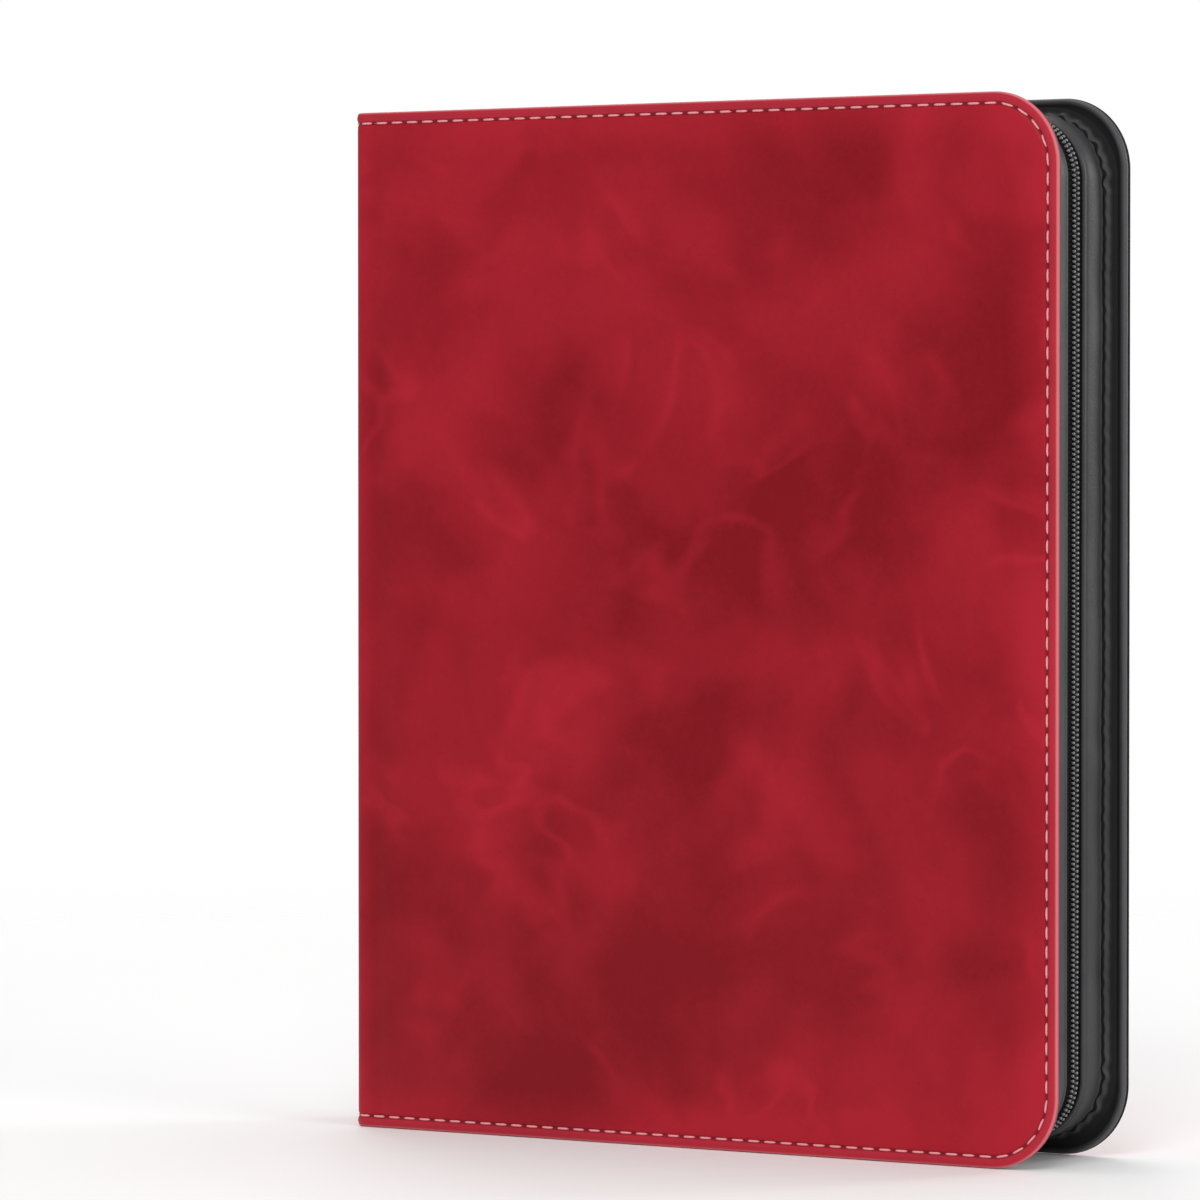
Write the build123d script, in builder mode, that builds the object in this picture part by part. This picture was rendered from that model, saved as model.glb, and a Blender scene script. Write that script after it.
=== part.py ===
"""Zip-round binder for trading cards: two board covers on a spine, ten nine-pocket leaves and a coil zip.

The binder stands closed on its lower edges. +Z is up, the front cover faces -Y, the spine is at -X and the
origin is under the middle of the whole. "Depth" is the distance from the mid plane between the two covers.
Every front piece is drawn once and mirrored in that plane for the back.
"""

import os

from build123d import *

# ---- covers and spine -------------------------------------------------------------------------------------
cover_height = 364.0
cover_width = 285.0  # outside of the spine to the fore edge
binder_thickness = 54.0
cover_corner_radius = 25.0
skin_thickness = 0.8
foam_thickness = 1.0
board_thickness = 1.6
lining_thickness = 0.6
lining_lip = 1.0  # the lining is turned up over the edges of the foam and board
hinge_outer_radius = 4.5  # the skin rolls round this from the spine to a cover

# ---- seam round each cover --------------------------------------------------------------------------------
seam_inset = 3.9
seam_groove_width = 1.0
seam_groove_depth = 0.4
seam_thread_width = 0.8

# ---- side walls and zip -----------------------------------------------------------------------------------
wall_inset = 7.0  # how far the covers stand out past the wall
wall_thickness = 1.4
wall_corner_radius = 22.0
wall_spine_gap = 1.0
flange_thickness = 1.0
flange_inset = 3.0
zip_window_half = 5.6  # the wall stops this far from the mid plane
tape_thickness = 0.6
tape_half_width = 9.5
tape_centre_gap = 0.4
coil_width = 2.0
coil_centre_gap = 0.5
front_coil_start = 21.5  # measured from the inside of the spine
back_coil_start = 17.0

# ---- slider, pull and stops -------------------------------------------------------------------------------
slider_start = 4.0  # from the inside of the spine
slider_length = 12.0
slider_side_gap = 0.2
slider_plate = 1.4
slider_clearance = 0.4
slider_slot_clearance = 0.3
slider_lip = 1.1
slider_corner_radius = 1.6
post_length = 3.0
post_width = 0.6
bridge_length = 8.0
bridge_rise = 2.7
bridge_width = 1.6
bridge_bar = 1.0
bridge_foot = 2.0
bridge_corner_radius = 1.6
pull_length = 31.0
pull_width = 5.6
pull_thickness = 1.1
pull_end_radius = 2.7
pull_hole_radius = 1.1
pull_pin_radius = 0.7
pull_eye_reach = 5.0
pull_arm_gap = 0.5
stop_length = 1.8
stop_reach = 0.4

# ---- leaves -----------------------------------------------------------------------------------------------
leaves_per_side = 5
leaf_pitch = 4.2  # from leaf to leaf in the closed binder
leaf_open_pitch = 3.0  # from leaf to leaf when they lie open
first_fold_height = 2.0  # the lowest leaf folds this far from the inside of the spine
middle_gap = 6.6  # between the two middle leaves
sheet_thickness = 0.4
sheet_edge = 1.4  # sheet outside the pockets, at the fore edge
sheet_end_edge = 1.0
sheet_corner_radius = 6.0
fold_clearance = 0.3
margin_width = 30.0  # from the inside of the spine to the first pocket
binding_thickness = 1.0
binding_side_gap = 1.0

# ---- pockets, toploaders and cards ------------------------------------------------------------------------
pockets_across = 3
pockets_up = 3
toploader_width = 76.2
toploader_height = 101.6
toploader_thickness = 1.8
card_width = 63.5
card_height = 88.9
card_thickness = 0.35
weld_width = 1.8
pocket_slack = 1.0
film_thickness = 0.25
empty_pocket_depth = 0.2
slit_width = 0.6
slit_end_gap = 3.0
dome_wall = 0.3
toploader_clearance = 0.12
card_slot_width = 66.0
card_slot_depth = 0.7
card_slot_floor = 3.0
card_lift = 0.3

# ---- guard over the gutter --------------------------------------------------------------------------------
guard_overhang = 5.8  # past the fold line, over the gutter
guard_width = 21.0  # from its toothed edge towards the pockets
guard_thickness = 0.3
guard_tooth_pitch = 6.0
guard_tooth_depth = 2.5

# ---- places that follow from the sizes --------------------------------------------------------------------
cover_thickness = skin_thickness + foam_thickness + board_thickness + lining_thickness
spine_thickness = cover_thickness
spine_board_face = spine_thickness - lining_thickness
spine_outside = -cover_width / 2
spine_inside = spine_outside + spine_thickness
fore_edge = cover_width / 2
half_thickness = binder_thickness / 2
half_inside = half_thickness - cover_thickness
skin_inside = half_thickness - skin_thickness
board_inside = half_inside + lining_thickness
panel_start = spine_outside + hinge_outer_radius
spine_half_width = half_thickness - hinge_outer_radius
wall_start = spine_inside + wall_spine_gap
wall_top = cover_height - wall_inset
tape_inset = wall_inset + wall_thickness
pocket_clear_width = toploader_width + pocket_slack
pocket_clear_height = toploader_height + pocket_slack
pocket_pitch_x = pocket_clear_width + weld_width
pocket_pitch_z = pocket_clear_height + weld_width
pockets_start = spine_inside + margin_width
pockets_end = pockets_start + pockets_across * pocket_pitch_x
pockets_height = pockets_up * pocket_pitch_z
sheet_end = pockets_end + sheet_edge
sheet_height = pockets_height + 2 * sheet_end_edge
sheet_bottom = (cover_height - sheet_height) / 2
film_depth = film_thickness + empty_pocket_depth
dome_depth = toploader_thickness + 2 * toploader_clearance
pocket_centres = [
    (
        pockets_start + (column + 0.5) * pocket_pitch_x,
        cover_height / 2 + (row - (pockets_up - 1) / 2) * pocket_pitch_z,
    )
    for row in range(pockets_up)
    for column in range(pockets_across)
]


def leaf_depth(number):
    """Depth of a leaf's middle, where leaf 1 is next to the cover and the last is next to the mid plane."""
    return middle_gap / 2 + (leaves_per_side - number) * leaf_pitch


def fold_height(number):
    """How far from the inside of the spine a leaf folds, so that the open leaves lie on each other."""
    return first_fold_height + (number - 1) * leaf_open_pitch


def outline(start, inset, radius):
    """Cover-shaped outline in the current sketch: square at the spine, rounded at the fore edge."""
    width = fore_edge - inset - start
    with Locations((start + width / 2, cover_height / 2)):
        face = Rectangle(width, cover_height - 2 * inset)
    fillet(face.vertices().sort_by(Axis.X)[-2:], radius)


def slab(start, inset, radius, near, far):
    """A cover-shaped plate between two depths on the front side."""
    with BuildPart() as plate:
        with BuildSketch(Plane.XZ.offset(near)):
            outline(start, inset, radius)
        extrude(amount=far - near)
    return plate.part


def band(start, outer, outer_radius, inner, inner_radius, near, far):
    """A U-shaped strip round the top, the fore edge and the bottom, between two insets and two depths."""
    with BuildPart() as strip:
        add(slab(start, outer, outer_radius, near, far))
        add(slab(start, inner, inner_radius, near, far), mode=Mode.SUBTRACT)
    return strip.part


def block(low, high):
    """A plain block between two corners."""
    size = [b - a for a, b in zip(low, high)]
    centre = tuple((a + b) / 2 for a, b in zip(low, high))
    with BuildPart() as solid:
        with Locations(centre):
            Box(*size)
    return solid.part


# ---- cover layers -----------------------------------------------------------------------------------------
def seam_band(width, near, far):
    """The part of the seam line that a thread or groove of this width takes up."""
    outer = seam_inset - width / 2
    inner = seam_inset + width / 2
    return band(
        panel_start, outer, cover_corner_radius - outer, inner, cover_corner_radius - inner, near, far
    )


def make_skin():
    """Outer leather with a groove where the seam pulls it in."""
    with BuildPart() as skin:
        add(slab(panel_start, 0, cover_corner_radius, skin_inside, half_thickness))
        add(
            seam_band(seam_groove_width, half_thickness - seam_groove_depth, half_thickness),
            mode=Mode.SUBTRACT,
        )
    return skin.part


def make_foam():
    """Thin padding under the outer leather."""
    return slab(
        panel_start, lining_lip, cover_corner_radius - lining_lip, skin_inside - foam_thickness, skin_inside
    )


def make_board():
    """Stiff board that keeps the cover flat."""
    return slab(
        panel_start, lining_lip, cover_corner_radius - lining_lip, board_inside, board_inside + board_thickness
    )


def make_lining():
    """Black lining over the inside of the board, turned up round its edge as far as the leather."""
    with BuildPart() as lining:
        add(slab(panel_start, 0, cover_corner_radius, half_inside, skin_inside))
        add(
            slab(panel_start, lining_lip, cover_corner_radius - lining_lip, board_inside, skin_inside),
            mode=Mode.SUBTRACT,
        )
    return lining.part


def make_seam_thread():
    """Thread lying in the groove of the outer leather."""
    return seam_band(seam_thread_width, half_thickness - seam_groove_depth, half_thickness)


# ---- side wall and zip ------------------------------------------------------------------------------------
def make_gusset():
    """Side wall with a flange turned outwards on to the lining, sewn through by the seam."""
    inner = wall_inset + wall_thickness
    inner_radius = wall_corner_radius - wall_thickness
    with BuildPart() as gusset:
        add(
            band(
                wall_start,
                wall_inset,
                wall_corner_radius,
                inner,
                inner_radius,
                zip_window_half,
                half_inside,
            )
        )
        add(
            band(
                wall_start,
                flange_inset,
                cover_corner_radius - flange_inset,
                inner,
                inner_radius,
                half_inside - flange_thickness,
                half_inside,
            )
        )
    return gusset.part


def make_tape():
    """Woven zip tape behind the edge of the wall."""
    inner = tape_inset + tape_thickness
    radius = wall_corner_radius - wall_thickness
    return band(
        wall_start, tape_inset, radius, inner, radius - tape_thickness, tape_centre_gap, tape_half_width
    )


def make_coil(start):
    """One row of the coil, as the plain envelope of its turns."""
    return band(
        spine_inside + start,
        wall_inset,
        wall_corner_radius,
        tape_inset,
        wall_corner_radius - wall_thickness,
        coil_centre_gap,
        coil_centre_gap + coil_width,
    )


def make_stop(wall_outside, inwards):
    """Small clip on the back tape, at the end of the zip. Inwards is -1 at the top, 1 at the bottom."""
    start = spine_inside + wall_spine_gap + stop_reach
    outside = wall_outside
    inside = wall_outside + inwards * wall_thickness
    low, high = sorted((outside, inside))
    return block(
        (start, coil_centre_gap, low),
        (start + stop_length, coil_centre_gap + coil_width, high),
    )


# ---- slider and pull --------------------------------------------------------------------------------------
slider_half_width = zip_window_half - slider_side_gap
slider_x = spine_inside + slider_start
tape_top = wall_top - wall_thickness
slider_roof = wall_top + slider_clearance
slider_top = slider_roof + slider_plate
slider_floor = tape_top - tape_thickness - slider_clearance
slider_bottom = slider_floor - slider_plate
bridge_start = slider_x + (slider_length - bridge_length) / 2
pin_x = slider_x + slider_length / 2
pin_z = slider_top + pull_pin_radius + slider_side_gap


def make_slider():
    """Slider body: two plates round the tape and coil, side lips and the post that parts the rows."""
    with BuildPart() as slider:
        add(
            block(
                (slider_x, -slider_half_width, slider_bottom),
                (slider_x + slider_length, slider_half_width, slider_top),
            )
        )
        fillet(slider.edges().filter_by(Axis.Z), slider_corner_radius)
        channel_half = slider_half_width - slider_lip
        add(
            block(
                (slider_x, -channel_half, slider_floor),
                (slider_x + slider_length, channel_half, slider_roof),
            ),
            mode=Mode.SUBTRACT,
        )
        add(
            block(
                (slider_x, -slider_half_width, slider_floor),
                (slider_x + slider_length, slider_half_width, tape_top + slider_slot_clearance),
            ),
            mode=Mode.SUBTRACT,
        )
        add(
            block(
                (slider_x, -post_width / 2, slider_floor),
                (slider_x + post_length, post_width / 2, slider_roof),
            )
        )
    return slider.part


def make_bridge():
    """Arch on the slider that holds the pull."""
    with BuildPart() as bridge:
        with BuildSketch(Plane.XZ.offset(-bridge_width / 2)):
            with Locations((bridge_start + bridge_length / 2, slider_top + bridge_rise / 2)):
                arch = Rectangle(bridge_length, bridge_rise)
            fillet(arch.vertices().group_by(Axis.Y)[-1], bridge_corner_radius)
            window_rise = bridge_rise - bridge_bar
            with Locations((bridge_start + bridge_length / 2, slider_top + window_rise / 2)):
                Rectangle(bridge_length - 2 * bridge_foot, window_rise, mode=Mode.SUBTRACT)
        extrude(amount=bridge_width)
    return bridge.part


def make_pull():
    """Pull tab with an eye round the bridge, lying flat towards the fore edge."""
    eye_half = bridge_width / 2 + pull_arm_gap
    with BuildPart() as pull:
        with BuildSketch(Plane.XY.offset(pin_z - pull_thickness / 2)):
            with Locations((pin_x + pull_length / 2, 0)):
                tab = Rectangle(pull_length, pull_width)
            fillet(tab.vertices().sort_by(Axis.X)[-2:], pull_end_radius)
            with Locations((pin_x + pull_eye_reach / 2, 0)):
                Rectangle(pull_eye_reach, 2 * eye_half, mode=Mode.SUBTRACT)
            with Locations((pin_x + pull_length - pull_width / 2, 0)):
                Circle(pull_hole_radius, mode=Mode.SUBTRACT)
        extrude(amount=pull_thickness)
        with BuildSketch(Plane.XZ.offset(-pull_width / 2)):
            with Locations((pin_x, pin_z)):
                Circle(pull_pin_radius)
        extrude(amount=pull_width)
    return pull.part


# ---- spine and hinges -------------------------------------------------------------------------------------
def make_spine_layer(near, far, end_inset):
    """A strip of the spine between two distances from its outside, short of the ends by an inset."""
    return block(
        (spine_outside + near, -spine_half_width, end_inset),
        (spine_outside + far, spine_half_width, cover_height - end_inset),
    )


def make_spine_lining():
    """Black lining of the spine with its ends turned up over the board."""
    with BuildPart() as lining:
        add(make_spine_layer(skin_thickness, spine_thickness, 0))
        add(make_spine_layer(skin_thickness, spine_board_face, lining_lip), mode=Mode.SUBTRACT)
    return lining.part


def make_hinge(outer, inner):
    """Quarter roll of leather or lining that joins the spine to the front cover."""
    centre = (panel_start, -spine_half_width)
    with BuildPart() as roll:
        with BuildSketch():
            with Locations(centre):
                Circle(outer)
                Circle(inner, mode=Mode.SUBTRACT)
            with Locations((centre[0] - outer / 2, centre[1] - outer / 2)):
                Rectangle(outer, outer, mode=Mode.INTERSECT)
        extrude(amount=cover_height)
    return roll.part


def make_binding():
    """Cloth strip glued inside the spine, which carries the leaves."""
    half_width = spine_half_width - binding_side_gap
    return block(
        (spine_inside, -half_width, sheet_bottom),
        (spine_inside + binding_thickness, half_width, sheet_bottom + sheet_height),
    )


def make_leaf_roots():
    """The part of each leaf's margin that stays upright on the spine when the leaf folds over."""
    with BuildPart() as roots:
        for number in range(1, leaves_per_side + 1):
            for side in (-1, 1):
                middle = side * leaf_depth(number)
                add(
                    block(
                        (
                            spine_inside + binding_thickness,
                            middle - sheet_thickness / 2,
                            sheet_bottom,
                        ),
                        (
                            spine_inside + fold_height(number) - fold_clearance,
                            middle + sheet_thickness / 2,
                            sheet_bottom + sheet_height,
                        ),
                    )
                )
    return roots.part


# ---- leaves -----------------------------------------------------------------------------------------------
def make_sheet(number):
    """Black base sheet of one leaf, from its fold line to the fore edge."""
    start = spine_inside + fold_height(number) + fold_clearance
    width = sheet_end - start
    with BuildPart() as sheet:
        with BuildSketch(Plane.XZ.offset(leaf_depth(number) - sheet_thickness / 2)):
            with Locations((start + width / 2, cover_height / 2)):
                face = Rectangle(width, sheet_height)
            fillet(face.vertices().sort_by(Axis.X)[-2:], sheet_corner_radius)
        extrude(amount=sheet_thickness)
    return sheet.part


def make_film(face_depth, outwards, loaded):
    """Clear film welded to one face of a sheet: nine pockets, each with a slit on its spine side.

    Outwards is 1 when the film faces the cover and -1 when it faces the mid plane.
    """

    def layer(depth_from_sheet):
        return Plane.XZ.offset(face_depth + outwards * depth_from_sheet)

    clear = (pocket_clear_width, pocket_clear_height)
    cavity = dome_depth if loaded else empty_pocket_depth
    slit_height = pocket_clear_height - 2 * slit_end_gap
    with BuildPart() as film:
        with BuildSketch(layer(0)):
            with Locations(((pockets_start + pockets_end) / 2, cover_height / 2)):
                Rectangle(pockets_end - pockets_start, pockets_height)
        extrude(amount=outwards * film_depth)
        if loaded:
            with BuildSketch(layer(0)):
                with Locations(*pocket_centres):
                    Rectangle(clear[0] + 2 * dome_wall, clear[1] + 2 * dome_wall)
            extrude(amount=outwards * (dome_depth + dome_wall))
        with BuildSketch(layer(0)):
            with Locations(*pocket_centres):
                Rectangle(*clear)
        extrude(amount=outwards * cavity, mode=Mode.SUBTRACT)
        with BuildSketch(layer(0)):
            slit_from_centre = (pocket_clear_width - slit_width) / 2
            with Locations(*[(x - slit_from_centre, z) for x, z in pocket_centres]):
                Rectangle(slit_width, slit_height)
        extrude(amount=outwards * (dome_depth + 2 * dome_wall), mode=Mode.SUBTRACT)
    return film.part


def make_pockets(number, loaded):
    """Both films of one leaf. Only the face towards the mid plane can be loaded."""
    depth = leaf_depth(number)
    outer = make_film(depth + sheet_thickness / 2, 1, False)
    inner = make_film(depth - sheet_thickness / 2, -1, loaded)
    return Compound(children=[outer, inner])


def make_toploaders(depth):
    """Nine rigid clear sleeves, open at the top, between the sheet and the dome of each pocket."""
    far = depth - sheet_thickness / 2 - toploader_clearance
    near = far - toploader_thickness
    slot_far = far - (toploader_thickness - card_slot_depth) / 2
    sleeves = []
    for x, z in pocket_centres:
        with BuildPart() as sleeve:
            with BuildSketch(Plane.XZ.offset(near)):
                with Locations((x, z)):
                    Rectangle(toploader_width, toploader_height)
            extrude(amount=toploader_thickness)
            slot_height = toploader_height - card_slot_floor
            with BuildSketch(Plane.XZ.offset(slot_far - card_slot_depth)):
                with Locations((x, z + card_slot_floor / 2)):
                    Rectangle(card_slot_width, slot_height)
            extrude(amount=card_slot_depth, mode=Mode.SUBTRACT)
        sleeves.append(sleeve.part)
    return Compound(children=sleeves)


def make_cards(depth):
    """Nine cards standing in their sleeves."""
    middle = depth - sheet_thickness / 2 - toploader_clearance - toploader_thickness / 2
    cards = []
    for x, z in pocket_centres:
        foot = z - toploader_height / 2 + card_slot_floor + card_lift
        cards.append(
            block(
                (x - card_width / 2, -middle - card_thickness / 2, foot),
                (x + card_width / 2, -middle + card_thickness / 2, foot + card_height),
            )
        )
    return Compound(children=cards)


def make_guard():
    """Pinked cloth strip on the middle front leaf, whose toothed edge hides the gutter when it lies open."""
    fold_x = spine_inside + fold_height(leaves_per_side)
    near = leaf_depth(leaves_per_side) - sheet_thickness / 2
    teeth = int(sheet_height // guard_tooth_pitch)
    foot = (cover_height - teeth * guard_tooth_pitch) / 2
    tip_x = fold_x - guard_overhang
    points = [(tip_x + guard_tooth_depth, foot)]
    for tooth in range(teeth):
        low = foot + tooth * guard_tooth_pitch
        points.append((tip_x, low + guard_tooth_pitch / 2))
        points.append((tip_x + guard_tooth_depth, low + guard_tooth_pitch))
    points.append((tip_x + guard_width, foot + teeth * guard_tooth_pitch))
    points.append((tip_x + guard_width, foot))
    with BuildPart() as guard:
        with BuildSketch(Plane.XZ.offset(near - guard_thickness)):
            with BuildLine():
                Polyline(*points, close=True)
            make_face()
        extrude(amount=guard_thickness)
    return guard.part


# ---- write every piece ------------------------------------------------------------------------------------
os.makedirs("parts", exist_ok=True)


def save(piece, name):
    """Write one named node."""
    piece.label = name
    export_step(piece, f"parts/{name}.step")


def save_pair(piece, name):
    """Write a front piece and its mirror image for the back."""
    save(piece, f"front_{name}")
    save(mirror(piece, about=Plane.XZ), f"back_{name}")


def main():
    """Make and write all the nodes."""
    save(make_spine_layer(0, skin_thickness, 0), "spine_skin")
    save(make_spine_layer(skin_thickness, spine_board_face, lining_lip), "spine_board")
    save(make_spine_lining(), "spine_lining")
    lining_roll = hinge_outer_radius - skin_thickness
    save_pair(make_hinge(hinge_outer_radius, lining_roll), "hinge_skin")
    save_pair(make_hinge(lining_roll, lining_roll - lining_thickness), "hinge_lining")
    save(make_binding(), "binding_strip")
    save(make_leaf_roots(), "leaf_roots")

    save_pair(make_skin(), "skin")
    save_pair(make_foam(), "foam")
    save_pair(make_board(), "board")
    save_pair(make_lining(), "lining")
    save_pair(make_seam_thread(), "seam_thread")
    save_pair(make_gusset(), "gusset")
    save_pair(make_tape(), "zip_tape")
    save(make_coil(front_coil_start), "front_zip_coil")
    save(mirror(make_coil(back_coil_start), about=Plane.XZ), "back_zip_coil")
    save(make_stop(wall_top, -1), "top_stop")
    save(make_stop(wall_inset, 1), "bottom_stop")

    save(make_slider(), "slider_body")
    save(make_bridge(), "slider_bridge")
    save(make_pull(), "pull_tab")

    for number in range(1, leaves_per_side + 1):
        loaded = number == leaves_per_side
        mirrored = 2 * leaves_per_side + 1 - number
        sheet = make_sheet(number)
        pockets = make_pockets(number, loaded)
        save(sheet, f"leaf_{number:02d}_sheet")
        save(mirror(sheet, about=Plane.XZ), f"leaf_{mirrored:02d}_sheet")
        save(pockets, f"leaf_{number:02d}_pockets")
        save(mirror(pockets, about=Plane.XZ), f"leaf_{mirrored:02d}_pockets")
        if loaded:
            toploaders = make_toploaders(leaf_depth(number))
            cards = make_cards(leaf_depth(number))
            save(toploaders, f"leaf_{number:02d}_toploaders")
            save(mirror(toploaders, about=Plane.XZ), f"leaf_{mirrored:02d}_toploaders")
            save(cards, f"leaf_{number:02d}_cards")
            save(mirror(cards, about=Plane.XZ), f"leaf_{mirrored:02d}_cards")
            save(make_guard(), "gutter_guard")


main()
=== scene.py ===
import math

import bmesh
import bpy
import numpy as np
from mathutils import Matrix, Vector


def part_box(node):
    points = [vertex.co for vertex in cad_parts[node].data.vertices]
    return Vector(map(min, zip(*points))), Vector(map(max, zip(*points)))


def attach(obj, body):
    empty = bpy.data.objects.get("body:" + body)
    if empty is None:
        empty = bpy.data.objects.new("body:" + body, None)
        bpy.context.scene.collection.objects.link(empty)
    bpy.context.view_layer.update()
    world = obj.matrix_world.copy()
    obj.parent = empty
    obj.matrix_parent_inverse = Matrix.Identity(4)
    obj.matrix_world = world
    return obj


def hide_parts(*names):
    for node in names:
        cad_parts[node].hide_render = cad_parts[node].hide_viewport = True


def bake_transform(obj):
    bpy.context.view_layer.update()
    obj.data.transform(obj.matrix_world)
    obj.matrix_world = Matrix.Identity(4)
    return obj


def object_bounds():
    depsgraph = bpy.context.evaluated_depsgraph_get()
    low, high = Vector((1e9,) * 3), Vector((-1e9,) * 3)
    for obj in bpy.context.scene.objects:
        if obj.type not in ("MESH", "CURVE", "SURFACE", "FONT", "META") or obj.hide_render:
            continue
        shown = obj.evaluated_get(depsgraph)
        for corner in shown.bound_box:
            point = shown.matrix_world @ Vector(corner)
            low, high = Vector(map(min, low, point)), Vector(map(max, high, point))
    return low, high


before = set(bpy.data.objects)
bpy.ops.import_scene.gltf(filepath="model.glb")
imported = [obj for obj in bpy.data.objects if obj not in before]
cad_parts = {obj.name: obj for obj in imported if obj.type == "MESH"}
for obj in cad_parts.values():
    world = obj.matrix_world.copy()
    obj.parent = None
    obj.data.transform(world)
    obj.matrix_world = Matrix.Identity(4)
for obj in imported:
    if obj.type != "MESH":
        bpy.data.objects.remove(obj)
cad_box = [list(corner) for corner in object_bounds()]

MM = 0.001
FRONT, BACK = -1, 1
SIDES = {"front": FRONT, "back": BACK}

# ---- places that the frame gives --------------------------------------------------------------------------
SPINE_X = cad_box[0][0]
FORE_X, HALF_DEPTH, TOP_Z = cad_box[1]
PANEL_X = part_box("front_foam")[0][0]
ROLL = PANEL_X - SPINE_X
HALF_SPINE = HALF_DEPTH - ROLL
SKIN_DEPTH = HALF_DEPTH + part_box("front_skin")[1][1]
LINING_DEPTH = -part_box("front_lining")[1][1]
SPINE_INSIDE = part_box("spine_lining")[1][0]
WALL_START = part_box("front_gusset")[0][0]
WALL_INSET = FORE_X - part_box("front_zip_coil")[1][0]
FLANGE_INSET = FORE_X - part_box("front_gusset")[1][0]
ZIP_WINDOW = -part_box("front_gusset")[1][1]
TAPE_EDGE = -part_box("front_zip_tape")[1][1]
TAPE_DEPTH = -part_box("front_zip_tape")[0][1]
TAPE_INSET = FORE_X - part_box("front_zip_tape")[1][0]
SEAM_INSET = FORE_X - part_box("front_seam_thread")[1][0] + 0.4 * MM
COVER_CORNER = 25 * MM
WALL_CORNER = 22 * MM
WALL = TAPE_INSET - WALL_INSET
HINGE = HALF_SPINE + ROLL * math.pi / 2
STITCH_PITCH = 6.5 * MM
TOOTH_PITCH = 1.72 * MM
SLEEVE_SIZE = np.array([76.2, 101.6]) * MM
CARD_SIZE = np.array([63.5, 88.9]) * MM
LEAF_COUNT = 10
MIDDLE_LEAVES = {5: FRONT, 6: BACK}


# ---- shapes -----------------------------------------------------------------------------------------------
def smooth_step(value):
    """0 below 0 and 1 above 1, with a flat start and end."""
    t = np.clip(value, 0, 1)
    return t * t * (3 - 2 * t)


def grid_faces(rows, columns, wrap_rows=False, wrap_columns=False):
    """Four-cornered faces between the neighbours of a grid of points."""
    row = np.arange(rows if wrap_rows else rows - 1)[:, None]
    column = np.arange(columns if wrap_columns else columns - 1)[None, :]
    next_row = (row + 1) % rows
    next_column = (column + 1) % columns
    corners = [
        row * columns + column,
        row * columns + next_column,
        next_row * columns + next_column,
        next_row * columns + column,
    ]
    return np.stack(corners, -1).reshape(-1, 4)


def sheet(grid, uv=None):
    """A grid with four open edges, as piece() takes it."""
    return grid, False, False, uv


def tube(grid):
    """A grid whose columns close on themselves, as piece() takes it."""
    return grid, False, True, None


def spread(*parts):
    """Points from their coordinates, each repeated where it has to be."""
    return np.stack(np.broadcast_arrays(*parts), -1)


def superellipse(turn, power):
    """Both coordinates of a circle of radius 1 whose corners are fuller the higher the power."""
    c, s = np.cos(turn), np.sin(turn)
    reach = (abs(c) ** power + abs(s) ** power) ** (-1 / power)
    return c * reach, s * reach


def new_mesh(name, points, faces):
    """A mesh from its points and its four-cornered faces."""
    mesh = bpy.data.meshes.new(name)
    mesh.from_pydata(points.reshape(-1, 3).tolist(), [], faces.reshape(-1, 4).tolist())
    return mesh


def merged(mesh):
    """A shell of the mesh in which points that meet are one."""
    shell = bmesh.new()
    shell.from_mesh(mesh)
    bmesh.ops.remove_doubles(shell, verts=shell.verts, dist=1e-6)
    return shell


def show(name, mesh, shell):
    """Puts a cleaned shell in its mesh, and the mesh in the scene with smooth faces."""
    shell.to_mesh(mesh)
    shell.free()
    mesh.polygons.foreach_set("use_smooth", np.ones(len(mesh.polygons), bool))
    result = bpy.data.objects.new(name, mesh)
    bpy.context.scene.collection.objects.link(result)
    return result


def piece(name, grids, towards=None, values=None):
    """A smooth mesh from grids of points.

    Each grid is (points, wrap rows, wrap columns, uv or None). Points that meet are merged, so seams and
    poles are closed. Towards is the side an open sheet faces; a closed shell faces outwards by itself.
    """
    points, faces, marks, count = [], [], [], 0
    for grid, wrap_rows, wrap_columns, uv in grids:
        rows, columns = grid.shape[:2]
        points.append(grid.reshape(-1, 3))
        faces.append(grid_faces(rows, columns, wrap_rows, wrap_columns) + count)
        marks.append(np.zeros((rows * columns, 2)) if uv is None else uv.reshape(-1, 2))
        count += rows * columns
    points, faces, marks = (np.concatenate(part) for part in (points, faces, marks))
    mesh = new_mesh(name, points, faces)
    corners = np.empty(len(mesh.loops), int)
    mesh.loops.foreach_get("vertex_index", corners)
    mesh.uv_layers.new(name="UVMap").data.foreach_set("uv", marks[corners].ravel())
    for label, field in (values or {}).items():
        attribute = mesh.attributes.new(label, "FLOAT", "POINT")
        attribute.data.foreach_set("value", np.ravel(field).astype(np.float32))
    shell = merged(mesh)
    bmesh.ops.dissolve_degenerate(shell, edges=shell.edges, dist=1e-7)
    if towards is None:
        bmesh.ops.recalc_face_normals(shell, faces=shell.faces)
    elif sum((f.normal * f.calc_area() for f in shell.faces), Vector()).dot(Vector(towards)) < 0:
        bmesh.ops.reverse_faces(shell, faces=shell.faces)
    return show(name, mesh, shell)


def edge_length(inset, radius, start):
    """Length of the path round a cover: two straight runs, two quarter circles and the fore edge."""
    run = FORE_X - inset - radius - start
    return 2 * run + math.pi * radius + TOP_Z - 2 * inset - 2 * radius


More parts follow.
